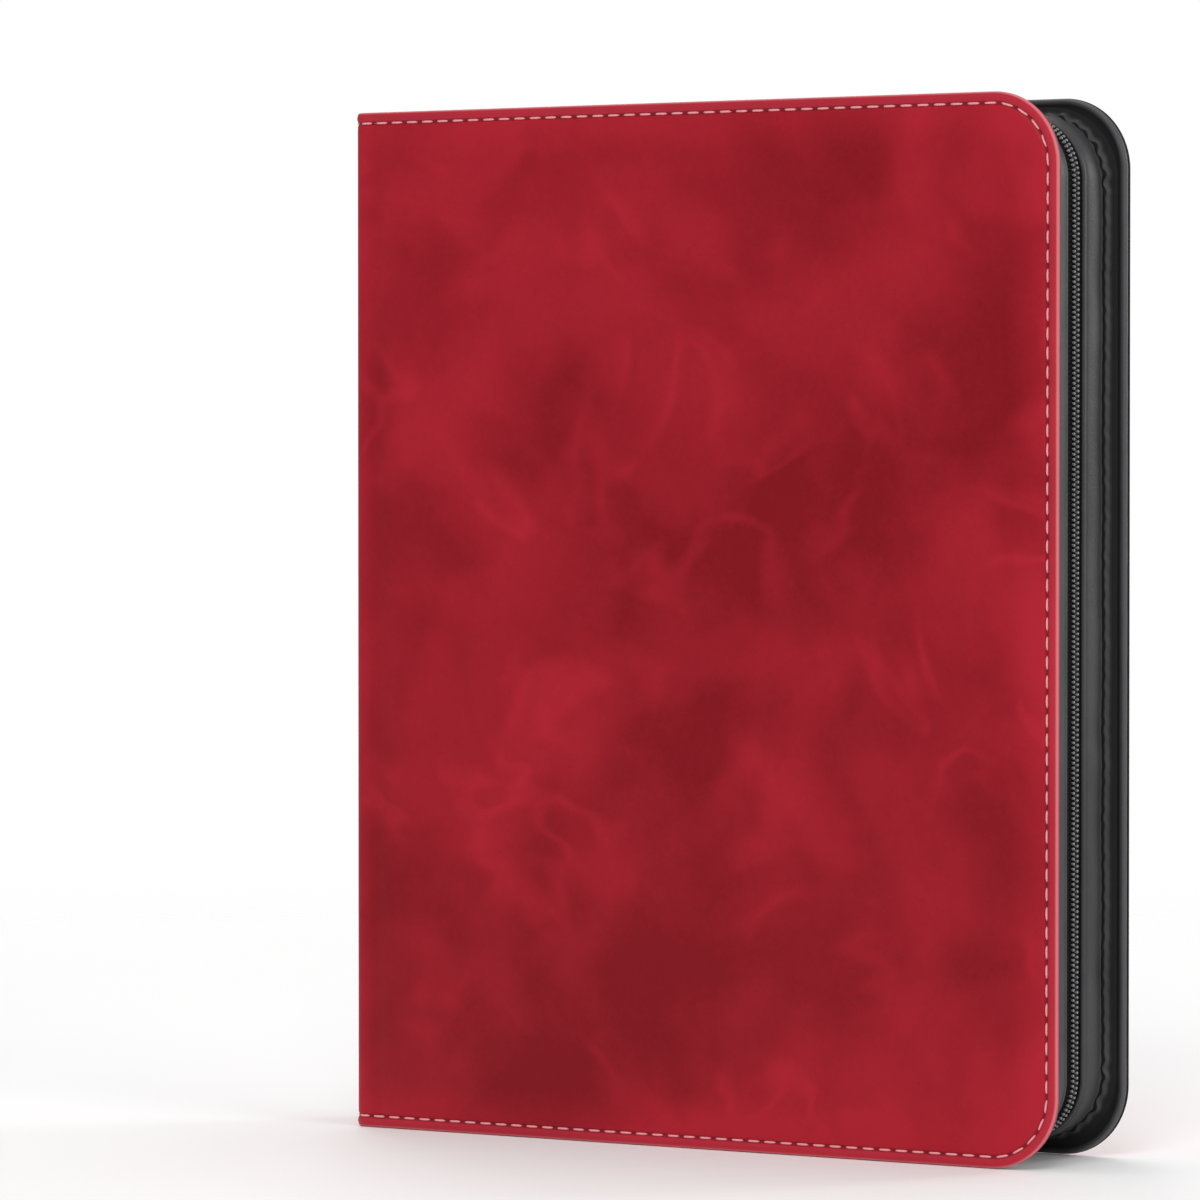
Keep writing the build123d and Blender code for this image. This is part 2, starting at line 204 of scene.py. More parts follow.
def edge_path(inset, radius, start, distance):
    """Point and outward direction at a distance along the path round a cover, from the foot of the spine.

    The path goes out along the bottom, turns a quarter circle, climbs the fore edge, turns again and
    comes back along the top.
    """
    run = FORE_X - inset - radius - start
    arc = math.pi / 2 * radius
    climb = TOP_Z - 2 * inset - 2 * radius
    out = np.clip(distance, 0, run)
    first = np.clip((distance - run) / arc, 0, 1) * math.pi / 2
    up = np.clip(distance - run - arc, 0, climb)
    second = np.clip((distance - run - arc - climb) / arc, 0, 1) * math.pi / 2
    back = np.clip(distance - run - 2 * arc - climb, 0, run)
    turn = first + second
    normal = np.stack([np.sin(turn), -np.cos(turn)], -1)
    x = start + out - back + radius * np.sin(turn)
    z = inset + radius + up - radius * np.cos(turn)
    return np.stack([x, z], -1), normal


def swept(profile, inset, radius, start, distance, side, ripple=None):
    """A closed profile carried along the path round a cover.

    The profile is rows of (outward, depth from the mid plane). Ripple, if given, is moved outward too.
    """
    path, normal = edge_path(inset, radius, start, distance)
    outward = profile[:, 0][None, :] + (0 if ripple is None else ripple)
    flat = path[:, None, :] + normal[:, None, :] * outward[..., None]
    return spread(flat[..., 0], side * profile[:, 1][None, :], flat[..., 1])


def capped(grid):
    """The same closed tube with its first and last ring drawn in to a point, so that its ends are closed."""
    first = np.broadcast_to(grid[0].mean(0), grid[0].shape)
    last = np.broadcast_to(grid[-1].mean(0), grid[-1].shape)
    return np.concatenate([first[None], grid, last[None]])


def cover_rings(insets, start, run_count, arc_count, climb_count):
    """Rings round a cover at many insets, as arrays of x and z, one ring a row.

    Each ring has the corner circle less its inset as its radius. Past that the corner is square, and the
    last ring closes on the line half way up.
    """
    inset = np.asarray(insets)[:, None]
    radius = np.maximum(COVER_CORNER - inset, 0)
    run = np.linspace(0, 1, run_count)[None, :]
    turn = np.linspace(0, math.pi / 2, arc_count + 1)[None, 1:]
    climb = np.linspace(0, 1, climb_count + 1)[None, 1:]
    corner_x = FORE_X - inset - radius
    corner_z = inset + radius
    fore_x = np.broadcast_to(FORE_X - inset, (len(inset), climb_count))
    low_x = np.concatenate([start + (corner_x - start) * run, corner_x + radius * np.sin(turn)], 1)
    low_z = np.concatenate([inset + 0 * run, corner_z - radius * np.cos(turn)], 1)
    fore_z = corner_z + (TOP_Z - 2 * corner_z) * climb
    x = np.concatenate([low_x, fore_x[:, :-1], low_x[:, ::-1]], 1)
    z = np.concatenate([low_z, fore_z[:, :-1], TOP_Z - low_z[:, ::-1]], 1)
    return x, z


def wrap_leather(along, height, side):
    """Leather that lies on the spine, rolls a quarter turn and lies on the cover.

    Along is measured on the leather from the middle of the spine. Height stands out from the surface.
    """
    turn = np.clip((along - HALF_SPINE) / ROLL, 0, math.pi / 2)
    past = np.maximum(along - HALF_SPINE - ROLL * math.pi / 2, 0)
    x = PANEL_X - (ROLL + height) * np.cos(turn) + past
    y = np.minimum(along, HALF_SPINE) + (ROLL + height) * np.sin(turn)
    return x, side * y


def strands(name, centres, along, up, profile, sides=6, width=1.0, wrap=None):
    """Many small round-ended strands in one mesh.

    Each strand follows the same profile of (distance along, lift, radius) from its own centre, in its own
    along and up directions. Width is its size across against its height. Wrap, if given, moves the points.
    The crest value is 1 on top of a strand's thick part and falls to 0 at its sides and ends.
    """
    across = np.cross(along, up)
    turn = np.linspace(0, 2 * math.pi, sides, endpoint=False)
    across, along, up, centres = (part[:, None, None, :] for part in (across, along, up, centres))
    ahead, lift, radius = (profile[None, :, None, column, None] for column in range(3))
    c, s = np.cos(turn)[:, None], np.sin(turn)[:, None]
    points = centres + ahead * along + lift * up + radius * (c * up + width * s * across)
    if wrap:
        points = wrap(points)
    count, rings = points.shape[:2]
    faces = grid_faces(rings, sides, False, True)[None] + (np.arange(count) * rings * sides)[:, None, None]
    mesh = new_mesh(name, points, faces)
    # The crest value places painted highlights on top of each strand.
    thick = smooth_step((profile[:, 2] / profile[:, 2].max() - 0.75) / 0.25)
    crest = thick[:, None] * smooth_step((np.cos(turn) - 0.35) / 0.6)[None, :]
    field = np.broadcast_to(crest, (count, rings, sides)).astype(np.float32)
    mesh.attributes.new("crest", "FLOAT", "POINT").data.foreach_set("value", field.ravel())
    shell = merged(mesh)
    bmesh.ops.recalc_face_normals(shell, faces=shell.faces)
    return show(name, mesh, shell)


def plates(name, centres, size, thickness, radius, bevel, value=None, first=0):
    """Rounded flat plates standing in the X-Z plane, in one mesh.

    Each plate is a rounded rectangle carried through its thickness, smaller by the bevel at both faces and
    closed at the middle of each. UV runs from 0 to 1 across it. Value, if given, names a number that every
    plate has for itself, counted from first.
    """
    turn = np.linspace(0, math.pi / 2, 6)
    quarter = np.stack([np.cos(turn), np.sin(turn)], -1)
    corners = []
    for c, s in ((1, 0), (0, 1), (-1, 0), (0, -1)):
        turned = quarter @ np.array([[c, s], [-s, c]])
        corners.append((np.sign(turned.mean(0)), turned))
    half = np.array(size) / 2
    rings = []
    steps = ((3, 0.5), (1, 0.5), (0.3, 0.35), (0, 0.2))
    for share, depth in [(share, -depth) for share, depth in steps] + list(steps)[::-1]:
        ring = [sign * (half - radius) + turned * (radius - share * bevel) for sign, turned in corners]
        ring = np.concatenate(ring)
        rings.append(np.column_stack([ring[:, 0], np.full(len(ring), depth * thickness), ring[:, 1]]))
    grid = np.array([rings[0] * [0.0, 1, 0.0]] + rings + [rings[-1] * [0.0, 1, 0.0]])
    uv = np.stack([grid[..., 0] / size[0] + 0.5, grid[..., 2] / size[1] + 0.5], -1)
    grids = [(grid + np.array(centre), False, True, uv) for centre in centres]
    marks = np.repeat(np.arange(float(len(centres))) + first, grid[..., 0].size)
    return piece(name, grids, values={value: marks} if value else None)


# ---- shader helpers ---------------------------------------------------------------------------------------
class Value:
    """What a node gives. Plus, minus, times and abs on it place Math nodes in its tree."""

    def __init__(self, shades, socket):
        self.shades, self.socket = shades, socket

    def __add__(self, other):
        return self.shades.math("ADD", self, other)

    def __sub__(self, other):
        return self.shades.math("SUBTRACT", self, other)

    def __rsub__(self, other):
        return self.shades.math("SUBTRACT", other, self)

    def __mul__(self, other):
        return self.shades.math("MULTIPLY", self, other)

    def __abs__(self):
        return self.shades.math("ABSOLUTE", self)

    def clamped(self):
        """The same value, held between 0 and 1 by its Math node."""
        self.socket.node.use_clamp = True
        return self


class Shades:
    """A short way to place and join the nodes of one tree."""

    def __init__(self, tree):
        self.tree = tree

    def set(self, socket, value):
        """Joins a value to a socket or sets the socket to it."""
        if isinstance(value, Value):
            self.tree.links.new(value.socket, socket)
        else:
            socket.default_value = (*value, 1) if socket.type == "RGBA" else value

    def add(self, kind, inputs=(), **properties):
        """Places a node, sets its properties, and joins or sets its inputs by name or number."""
        made = self.tree.nodes.new(kind)
        for key, value in properties.items():
            setattr(made, key, value)
        for key, value in dict(inputs).items():
            self.set(made.inputs[key], value)
        return made

    def value(self, output, kind, inputs=(), **properties):
        """Places a node and gives one of its outputs."""
        return Value(self, self.add(kind, inputs, **properties).outputs[output])

    def math(self, operation, *values):
        """One sum on its values."""
        return self.value(0, "ShaderNodeMath", dict(enumerate(values)), operation=operation)

    def mix(self, factor, a, b):
        """Mixes two colours."""
        inputs = {"Factor": factor, 6: a, 7: b}
        return self.value(2, "ShaderNodeMix", inputs, data_type="RGBA", clamp_result=True)

    def band(self, value, low, high):
        """0 below low, 1 above high, smooth between."""
        inputs = {0: value, 1: low, 2: high, 3: 0.0, 4: 1.0}
        return self.value(0, "ShaderNodeMapRange", inputs, interpolation_type="SMOOTHSTEP")

    def blend(self, share, low, high):
        """From low to high in a straight line as share goes from 0 to 1."""
        return self.value(0, "ShaderNodeMapRange", {0: share, 1: 0.0, 2: 1.0, 3: low, 4: high})

    def noise(self, vector, scale, detail=2.0, roughness=0.5, distortion=0.0):
        """Cloudy noise at a scale in cells a metre."""
        inputs = {"Vector": vector, "Scale": scale, "Detail": detail, "Roughness": roughness}
        return self.value("Fac", "ShaderNodeTexNoise", {**inputs, "Distortion": distortion})

    def attribute(self, name):
        """A value kept at the points of the mesh."""
        return self.value("Fac", "ShaderNodeAttribute", attribute_name=name)

    def split(self, vector):
        """The three parts of a vector."""
        return [Value(self, part) for part in self.add("ShaderNodeSeparateXYZ", {0: vector}).outputs]

    def join(self, *parts):
        """A vector from its first two or three parts."""
        return self.value(0, "ShaderNodeCombineXYZ", dict(enumerate(parts)))

    def length(self, vector):
        """Length of a vector."""
        return self.value("Value", "ShaderNodeVectorMath", {0: vector}, operation="LENGTH")

    def group(self, tree, **inputs):
        """Places a node group with its own inputs and gives its outputs."""
        return [Value(self, given) for given in self.add("ShaderNodeGroup", inputs, node_tree=tree).outputs]


class Coat(Shades):
    """A new material with a Principled surface, and where its points are."""

    def __init__(self, name, roughness=0.5, specular=0.5, places="Object"):
        self.material = bpy.data.materials.new(name)
        self.material.use_nodes = True
        super().__init__(self.material.node_tree)
        self.surface = self.tree.nodes["Principled BSDF"]
        self.give("Roughness", roughness)
        self.give("Specular IOR Level", specular)
        self.where = self.value(places, "ShaderNodeTexCoord")

    def give(self, name, value):
        """Joins or sets one input of the surface."""
        self.set(self.surface.inputs[name], value)

    def bump(self, height, distance, strength=1.0):
        """Joins a height to the surface's normal through one Bump node."""
        inputs = {"Height": height, "Distance": distance, "Strength": strength}
        self.give("Normal", self.value(0, "ShaderNodeBump", inputs))


def new_group(name, numbers, outputs):
    """An empty node group that takes a Vector and some numbers. Gives its Shades, its inputs and its end."""
    tree = bpy.data.node_groups.new(name, "ShaderNodeTree")
    tree.interface.new_socket("Vector", in_out="INPUT", socket_type="NodeSocketVector")
    for label, default in numbers.items():
        socket = tree.interface.new_socket(label, in_out="INPUT", socket_type="NodeSocketFloat")
        socket.default_value = default
    for label in outputs:
        tree.interface.new_socket(label, in_out="OUTPUT", socket_type="NodeSocketFloat")
    shades = Shades(tree)
    given = shades.add("NodeGroupInput").outputs[: len(numbers) + 1]
    return shades, [Value(shades, socket) for socket in given], shades.add("NodeGroupOutput").inputs


def grain_group():
    """Pebbled grain: the walls between small cells, softened by fine noise. Gives a height from 0 to 1."""
    shades, (where, cells), end = new_group("pebbled_grain", {"Cells": 900.0}, ["Height"])
    inputs = {"Vector": where, "Scale": cells, "Randomness": 1.0}
    walls = shades.value("Distance", "ShaderNodeTexVoronoi", inputs, feature="SMOOTH_F1")
    fine = shades.noise(where, cells * 2.3, 2.0)
    shades.set(end["Height"], walls * 0.8 + fine * 0.35)
    return shades.tree


def clouds_group():
    """Oiled leather's pull-up pattern: broad clouds crossed by soft pale veins, and fine fibres.

    The veins lie where a bent noise passes its middle value, and a slow drift makes whole areas paler.
    """
    numbers = {"Patches": 20.0, "Veins": 14.0}
    shades, (where, patches, veins), end = new_group("pull_up_clouds", numbers, ["Mask", "Fine"])
    clouds = shades.noise(where, patches, 3.0, 0.45, 0.3)
    bent = shades.noise(where, veins, 2.0, 0.5, 0.9)
    vein = 1.0 - shades.band(abs(bent - 0.5), 0.0, 0.06)
    gate = shades.band(shades.noise(where, veins * 1.7, 2.0), 0.42, 0.62)
    fine = shades.noise(where, patches * 22.0, 4.0, 0.6, 0.8)
    mask = shades.band(clouds, 0.33, 0.68) * 0.58
    drift = shades.noise(where, patches * 0.32, 2.0, 0.5)
    mask = mask + (shades.band(drift, 0.35, 0.65) * 0.40 - 0.14)
    shades.set(end["Mask"], (mask + vein * gate * 0.30).clamped())
    shades.set(end["Fine"], fine)
    return shades.tree


def weave_group():
    """Plain weave from two crossed waves. Gives the height of the threads from 0 to 1."""
    shades, (where, threads), end = new_group("plain_weave", {"Threads": 1400.0}, ["Height"])
    parts = shades.split(where)
    turns = threads * math.pi
    waves = [shades.math("SINE", part * turns) for part in parts[:2]]
    shades.set(end["Height"], shades.math("MULTIPLY_ADD", waves[0] * waves[1], 0.5, 0.5))
    return shades.tree


GRAIN = grain_group()
CLOUDS = clouds_group()
WEAVE = weave_group()


def scaled(colour, share, lift=0.0):
    """A colour times a share, plus a lift, at most 1."""
    return tuple(min(1.0, part * share + lift) for part in colour)


def red_leather():
    """Oiled red leather: dark and light clouds, painted highlights past the seam and on the bend, edge
    paint.
    """
    coat = Coat("red_leather", 0.42, 0.16)
    clouds, fine = coat.group(CLOUDS, Vector=coat.where, Patches=20.0, Veins=15.0)
    edge = coat.attribute("edge_distance")
    # Painted highlight: the face is paler within about 20 mm of the edge, where the padding slopes down.
    broad = (1.0 - coat.band(edge, 0.003, 0.020)).clamped()
    # Painted highlight: a paler red on the border outside the seam.
    border = (1.0 - coat.band(edge, 0.0028, 0.0048)).clamped()
    # Painted highlight along the leather's rounded rim, placed by the rim value.
    painted_rim_highlight = coat.attribute("rim")
    # Painted shade: a dark red in the seam's groove round the stitches.
    groove = 1.0 - coat.band(abs(edge - SEAM_INSET), 0.0003, 0.0010)
    paint = coat.attribute("edge_paint")
    # Painted highlight over the hinge roll, together with the lightening of bent pull-up leather.
    bend = coat.attribute("bend")
    fibres = (fine - 0.5) * 0.35
    mask = clouds + broad * 0.42 + bend * 0.35
    mask = (mask + fibres).clamped()
    colour = coat.mix(mask, (0.225, 0.0025, 0.0085), (0.425, 0.0115, 0.026))
    # In turn: painted highlight past the seam, painted shade in the groove, painted rim highlight, black
    # edge paint.
    for share, over in (
        (border * 0.5, (0.50, 0.032, 0.056)),
        (groove * 0.6, (0.16, 0.002, 0.008)),
        (painted_rim_highlight * 0.55, (0.80, 0.28, 0.31)),
        (paint, (0.014, 0.010, 0.011)),
    ):
        colour = coat.mix(share, colour, over)
    coat.give("Base Color", colour)
    coat.give("Roughness", mask * 0.08 + 0.40)
    coat.bump(coat.group(GRAIN, Vector=coat.where, Cells=1500.0)[0], 0.00005, 0.6)
    return coat.material


def black_leather(name, colour=(0.018, 0.018, 0.020), roughness=0.45, cells=1300.0, depth=0.00008):
    """Black grained leathercloth, dusty in patches, with painted shade in creases and a painted rim
    highlight.
    """
    coat = Coat(name, roughness, 0.3)
    clouds, fine = coat.group(CLOUDS, Vector=coat.where, Patches=60.0, Veins=45.0)
    tone = coat.mix(clouds * 0.6, colour, scaled(colour, 1.7, 0.004))
    # Painted shade: much darker, and rougher, where the crease value is set.
    crease = coat.attribute("crease")
    tone = coat.mix(crease, tone, scaled(colour, 0.12))
    # Painted highlight on the back cover's black rim bead.
    tone = coat.mix(coat.attribute("painted_rim_highlight") * 0.8, tone, scaled(colour, 2.6))
    coat.give("Base Color", tone)
    rough = fine * 0.18 + (roughness - 0.09)
    coat.give("Roughness", (rough + crease * 0.4).clamped())
    coat.bump(coat.group(GRAIN, Vector=coat.where, Cells=cells)[0], depth, 0.8)
    return coat.material


def woven(name, colour, threads, sheen=0.15):
    """Woven cloth with a soft sheen. Its weave lies in the X-Z plane."""
    coat = Coat(name, 0.85, 0.15)
    turned = coat.value(0, "ShaderNodeMapping", {"Vector": coat.where, "Rotation": (math.pi / 2, 0, 0)})
    (height,) = coat.group(WEAVE, Vector=turned, Threads=threads)
    coat.give("Base Color", coat.mix(height, scaled(colour, 0.45), colour))
    coat.give("Sheen Weight", sheen)
    coat.bump(height, 0.00012, 0.8)
    return coat.material


def thread(name, colour):
    """Twisted sewing thread: fine slanting turns, with a painted highlight on top."""
    coat = Coat(name, 0.6, 0.4)
    inputs = {"Vector": coat.where, "Scale": 700.0, "Distortion": 0.6}
    wave = coat.value("Fac", "ShaderNodeTexWave", inputs, bands_direction="DIAGONAL")
    crest = coat.attribute("crest")
    body = coat.mix(wave, scaled(colour, 0.62), colour)
    # Painted highlight along the top of each stitch.
    coat.give("Base Color", coat.mix(crest * 0.25, body, scaled(colour, 0.7, 0.3)))
    coat.bump(wave, 0.00008, 0.7)
    return coat.material


def moulded(name, colour, roughness=0.35, metallic=0.0, scale=500.0):
    """Moulded or painted hard piece with faint wear in its gloss."""
    coat = Coat(name, roughness)
    coat.give("Metallic", metallic)
    noise = coat.noise(coat.where, scale, 4.0, 0.6)
    coat.give("Base Color", coat.mix(coat.band(noise, 0.5, 0.75), colour, scaled(colour, 1.6, 0.01)))
    coat.give("Roughness", noise * 0.2 + (roughness - 0.1))
    coat.bump(noise, 0.00003, 0.5)
    return coat.material


def coil_nylon():
    """Black glossy nylon coil with a pale painted highlight on the top of each loop."""
    coat = Coat("zip_coil_nylon", 0.22, 0.8)
    noise = coat.noise(coat.where, 900.0, 3.0, 0.6)
    # Painted highlight: pale on the top of each loop, varied by noise.
    painted_highlight = (coat.attribute("crest") * (noise * 0.8 + 0.5)).clamped()
    coat.give("Base Color", coat.mix(painted_highlight, (0.008, 0.008, 0.008), (0.30, 0.30, 0.31)))
    coat.give("Roughness", noise * 0.15 + 0.16)
    coat.bump(noise, 0.00003, 0.5)
    return coat.material


def clear_film():
    """Thin clear film with faint ripples."""
    coat = Coat("clear_film", 0.08)
    ripple = coat.noise(coat.where, 45.0, 3.0, 0.5)
    coat.give("Base Color", coat.mix(ripple, (0.80, 0.80, 0.86), (0.95, 0.95, 0.98)))
    coat.give("Alpha", ripple * 0.05 + 0.02)
    coat.give("Roughness", ripple * 0.15 + 0.04)
    coat.bump(ripple, 0.0004, 0.3)
    return coat.material


def rigid_clear():
    """Rigid clear sleeve: almost invisible, with pale painted highlight lines at its rim and the card's
    slot.
    """
    coat = Coat("rigid_clear", 0.12)
    places = Value(coat, coat.where.socket.node.outputs["UV"])
    across, upward = (abs(part - 0.5) for part in coat.split(places)[:2])
    side_line = coat.math("COMPARE", across, 0.437, 0.006)
    end_line = coat.math("COMPARE", upward, 0.472, 0.0045)
    side_line = side_line * coat.math("LESS_THAN", upward, 0.476)
    end_line = end_line * coat.math("LESS_THAN", across, 0.443)
    slot = coat.math("MAXIMUM", side_line, end_line)
    frame_area = coat.math("MAXIMUM", coat.band(across, 0.434, 0.440), coat.band(upward, 0.470, 0.474))
    rim = coat.math("MAXIMUM", coat.band(across, 0.482, 0.490), coat.band(upward, 0.486, 0.492))
    noise = coat.noise(coat.where, 60.0, 3.0)
    # Painted highlights: pale lines along the rim and round the slot.
    line = coat.math("MAXIMUM", rim, slot)
    coat.give("Base Color", coat.mix(line, (0.22, 0.22, 0.30), (0.78, 0.80, 0.90)))
    coat.give("Alpha", (frame_area * 0.30 + line * 0.40 + noise * 0.03).clamped())
    coat.give("Roughness", noise * 0.15 + 0.08)
    return coat.material


def printed_card():
    """Printed cards, each with its own made-up landscape: sky, sun, two ranges of hills and a plain bar."""
    coat = Coat("printed_card", 0.3, 0.4, "UV")
    u, v = coat.split(coat.where)[:2]
    number = coat.attribute("card")

    def dice(step):
        """A number from 0 to 1 that is the same all over one card."""
        return coat.value("Value", "ShaderNodeTexWhiteNoise", {"W": number + step}, noise_dimensions="1D")

    def tint(hue, saturation, value):
        """A colour from its hue, saturation and value."""
        return coat.value(0, "ShaderNodeCombineColor", {0: hue, 1: saturation, 2: value}, mode="HSV")

    def ridge(scale, shift):
        """A ragged height along the card."""
        return coat.noise(coat.join(u, shift, number), scale, 5.0, 0.6)

    grain = coat.noise(coat.join(u, v, number), 6.0, 5.0, 0.6)
    hue = dice(3.17)
    sky_value = (v * 0.28 + grain * 0.42).clamped()
    art = tint(hue, coat.blend(dice(1.3), 0.35, 0.95), sky_value)
    far_crest = ridge(3.0, 4.0) * 0.5 + coat.blend(dice(5.1), 0.05, 0.35)
    near_crest = ridge(5.0, 9.0) * 0.35 + coat.blend(dice(8.7), -0.02, 0.2)
    sun_x = u - coat.blend(dice(7.7), 0.25, 0.75)
    sun_y = (v - coat.blend(dice(9.9), 0.55, 0.8)) * 1.4
    disc = 1.0 - coat.band(coat.length(coat.join(sun_x, sun_y)), 0.12, 0.13)
    art = coat.mix(disc, art, tint(hue + 0.45, 0.25, 0.95))
    hills = tint(hue + coat.blend(dice(2.2), 0.2, 0.5), 0.8, coat.blend(grain, 0.02, 0.4))
    art = coat.mix(coat.band(far_crest - v, 0.0, 0.01), art, hills)
    field = tint(hue + coat.blend(dice(6.4), 0.4, 0.9), 0.85, coat.blend(grain, 0.0, 0.3))
    art = coat.mix(coat.band(near_crest - v, 0.0, 0.01), art, field)
    bar = coat.band(v, 0.07, 0.074) - coat.band(v, 0.14, 0.144)
    art = coat.mix(bar, art, tint(hue + 0.6, 0.7, 0.28))
    edge_u, edge_v = abs(u - 0.5), abs(v - 0.5)
    border = coat.math("MAXIMUM", coat.band(edge_u, 0.464, 0.468), coat.band(edge_v, 0.475, 0.478))
    border = border * coat.math("GREATER_THAN", dice(4.4), 0.4)
    coat.give("Base Color", coat.mix(border, art, (0.84, 0.83, 0.80)))
    coat.give("Roughness", coat.blend(grain, 0.22, 0.38))
    return coat.material


def raw_board():
    """Grey board with fibres."""
    coat = Coat("raw_board", 0.9, 0.2)
    fibre = coat.noise(coat.where, 700.0, 4.0, 0.7)
    coat.give("Base Color", coat.mix(fibre, (0.22, 0.20, 0.17), (0.42, 0.39, 0.34)))
    coat.bump(fibre, 0.0001)
    return coat.material


LEATHER = red_leather()
GUSSET_CLOTH = black_leather("black_wall_leather", (0.030, 0.029, 0.031), 0.5, 1200.0)
LINING_CLOTH = black_leather("black_lining", (0.028, 0.028, 0.030), 0.5, 1800.0, 0.00005)
SHEET_CLOTH = black_leather("black_leaf_sheet", (0.016, 0.016, 0.018), 0.5, 2400.0, 0.00004)
TAPE_CLOTH = woven("zip_tape_cloth", (0.006, 0.006, 0.007), 1500.0, sheen=0.02)
BINDING_CLOTH = woven("binding_cloth", (0.022, 0.022, 0.024), 900.0)
GUARD_CLOTH = woven("guard_cloth", (0.085, 0.085, 0.09), 1100.0)
SEAM_THREAD = thread("pink_thread", (1.0, 0.36, 0.38))
COIL_NYLON = coil_nylon()
STOP_METAL = moulded("zip_stop_metal", (0.06, 0.06, 0.065), 0.3, 0.6)
ZIP_METAL = moulded("black_zip_metal", (0.022, 0.022, 0.024), 0.34, 0.55, 260.0)
FILM = clear_film()
RIGID = rigid_clear()
CARD = printed_card()
BOARD = raw_board()
FOAM = moulded("edge_foam", (0.55, 0.53, 0.48), 0.9)


def finish_piece(made, coat, slot, *nodes):
    """Gives a piece its material and hides the CAD nodes that it stands for. Slot is not used."""
    made.data.materials.clear()
    made.data.materials.append(coat)
    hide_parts(*nodes)
    return made


# ---- covers -----------------------------------------------------------------------------------------------
# How far down the edge the red leather reaches before the black binding starts.
WRAP = {FRONT: 1.95 * MM, BACK: 1.15 * MM}


def leather_profile(side):
    """Inset and height of the outer leather, from its cut edge to the middle of the cover.

    The cut edge tucks in on the black binding, a short wall comes up the edge, a quarter circle comes over
    it, then the face.
    """
    over = SKIN_DEPTH + 0.12 * MM
    low = WRAP[side]
    high = np.linspace(0, math.pi / 2, 7)
    inset = [np.array([0.75, 0.10, 0.02]) * MM, over * (1 - np.cos(high))]
    height = [np.array([-low - 0.15 * MM, -low, -low + 0.12 * MM]), over * (np.sin(high) - 1)]
    near = np.arange(1.3, 7.0, 0.29) * MM
    far = 7 * MM + (TOP_Z / 2 - 7 * MM) * np.linspace(0, 1, 26) ** 2.2
    inset += [near, far]
    height += [0 * near, 0 * far]
    return np.concatenate(inset), np.concatenate(height)


def crown(inset, past, seam_phase):
    """Height that the padding and the seam give the leather's face.

    The border swells a little, the seam pulls a round groove deeper at each stitch's ends, and the face
    rises beyond it along an exponential curve that fades towards the hinge, where a shallow valley runs.
    """
    border = 0.22 * MM * np.sin(np.clip(inset / SEAM_INSET, 0, 1) * math.pi)
    groove = np.exp(-(((inset - SEAM_INSET) / (0.62 * MM)) ** 2))
    tuck = np.exp(-(((inset - SEAM_INSET) / (1.7 * MM)) ** 2)) * np.cos(math.pi * seam_phase) ** 2
    rise = 1.0 * MM * (1 - np.exp(-np.maximum(inset - SEAM_INSET, 0) / (9 * MM)))
    fade = smooth_step(past / (20 * MM))
    valley = 0.3 * MM * np.exp(-(((past - 6 * MM) / (2.6 * MM)) ** 2)) * smooth_step(past / (2 * MM))
    return border - 0.46 * MM * groove - 0.14 * MM * tuck + rise * fade - valley


def cover_leather(name, side):
    """Red leather of one cover in one sheet with the hinge roll and half of the spine."""
    insets, edge_height = leather_profile(side)
    x, z = cover_rings(insets, PANEL_X, 236, 36, 276)
    flat_spine = np.linspace(0, HALF_SPINE, 8, endpoint=False)
    roll = HALF_SPINE + ROLL * math.pi / 2 * np.linspace(0, 1, 10, endpoint=False)
    before = np.concatenate([flat_spine, roll])
    before = np.broadcast_to(before, (len(insets), len(before)))
    along = np.concatenate([before, HINGE + x - PANEL_X, before[:, ::-1]], 1)
    low = np.broadcast_to(insets[:, None], before.shape)
    z = np.concatenate([low, z, TOP_Z - low], 1)
    past = np.maximum(along - HINGE, 0)
    seam_row = np.argmin(abs(insets - SEAM_INSET))
    step = np.hypot(np.diff(along[seam_row]), np.diff(z[seam_row]))
    seam_length = np.concatenate([[0], np.cumsum(step)])
    phase = np.broadcast_to(seam_length / STITCH_PITCH, along.shape)
    face = smooth_step((insets - 0.9 * MM) / (0.9 * MM))[:, None]
    height = edge_height[:, None] + face * crown(insets[:, None], past, phase)
    grid = spread(*wrap_leather(along, height, side), z)
    uv = np.stack([along, z], -1)
    painted = -0.28 * SKIN_DEPTH if side == BACK else -WRAP[FRONT] + 0.02 * MM
    steep = (insets < SKIN_DEPTH) & (edge_height < painted)
    # The rim value places the painted rim highlight, and the bend value the painted highlight on the hinge
    # roll.
    rim = smooth_step(1.2 - insets / (0.7 * MM)) * smooth_step((edge_height + 1.25 * MM) / (0.6 * MM))
    marks = {
        "rim": np.broadcast_to(rim[:, None], along.shape),
        "edge_distance": np.broadcast_to(insets[:, None], along.shape),
        "edge_paint": np.broadcast_to(steep[:, None], along.shape),
        "bend": 1 - smooth_step((along - HINGE + 2 * MM) / (7 * MM)),
    }
    return piece(name, [sheet(grid, uv)], (0, side, 0), marks)


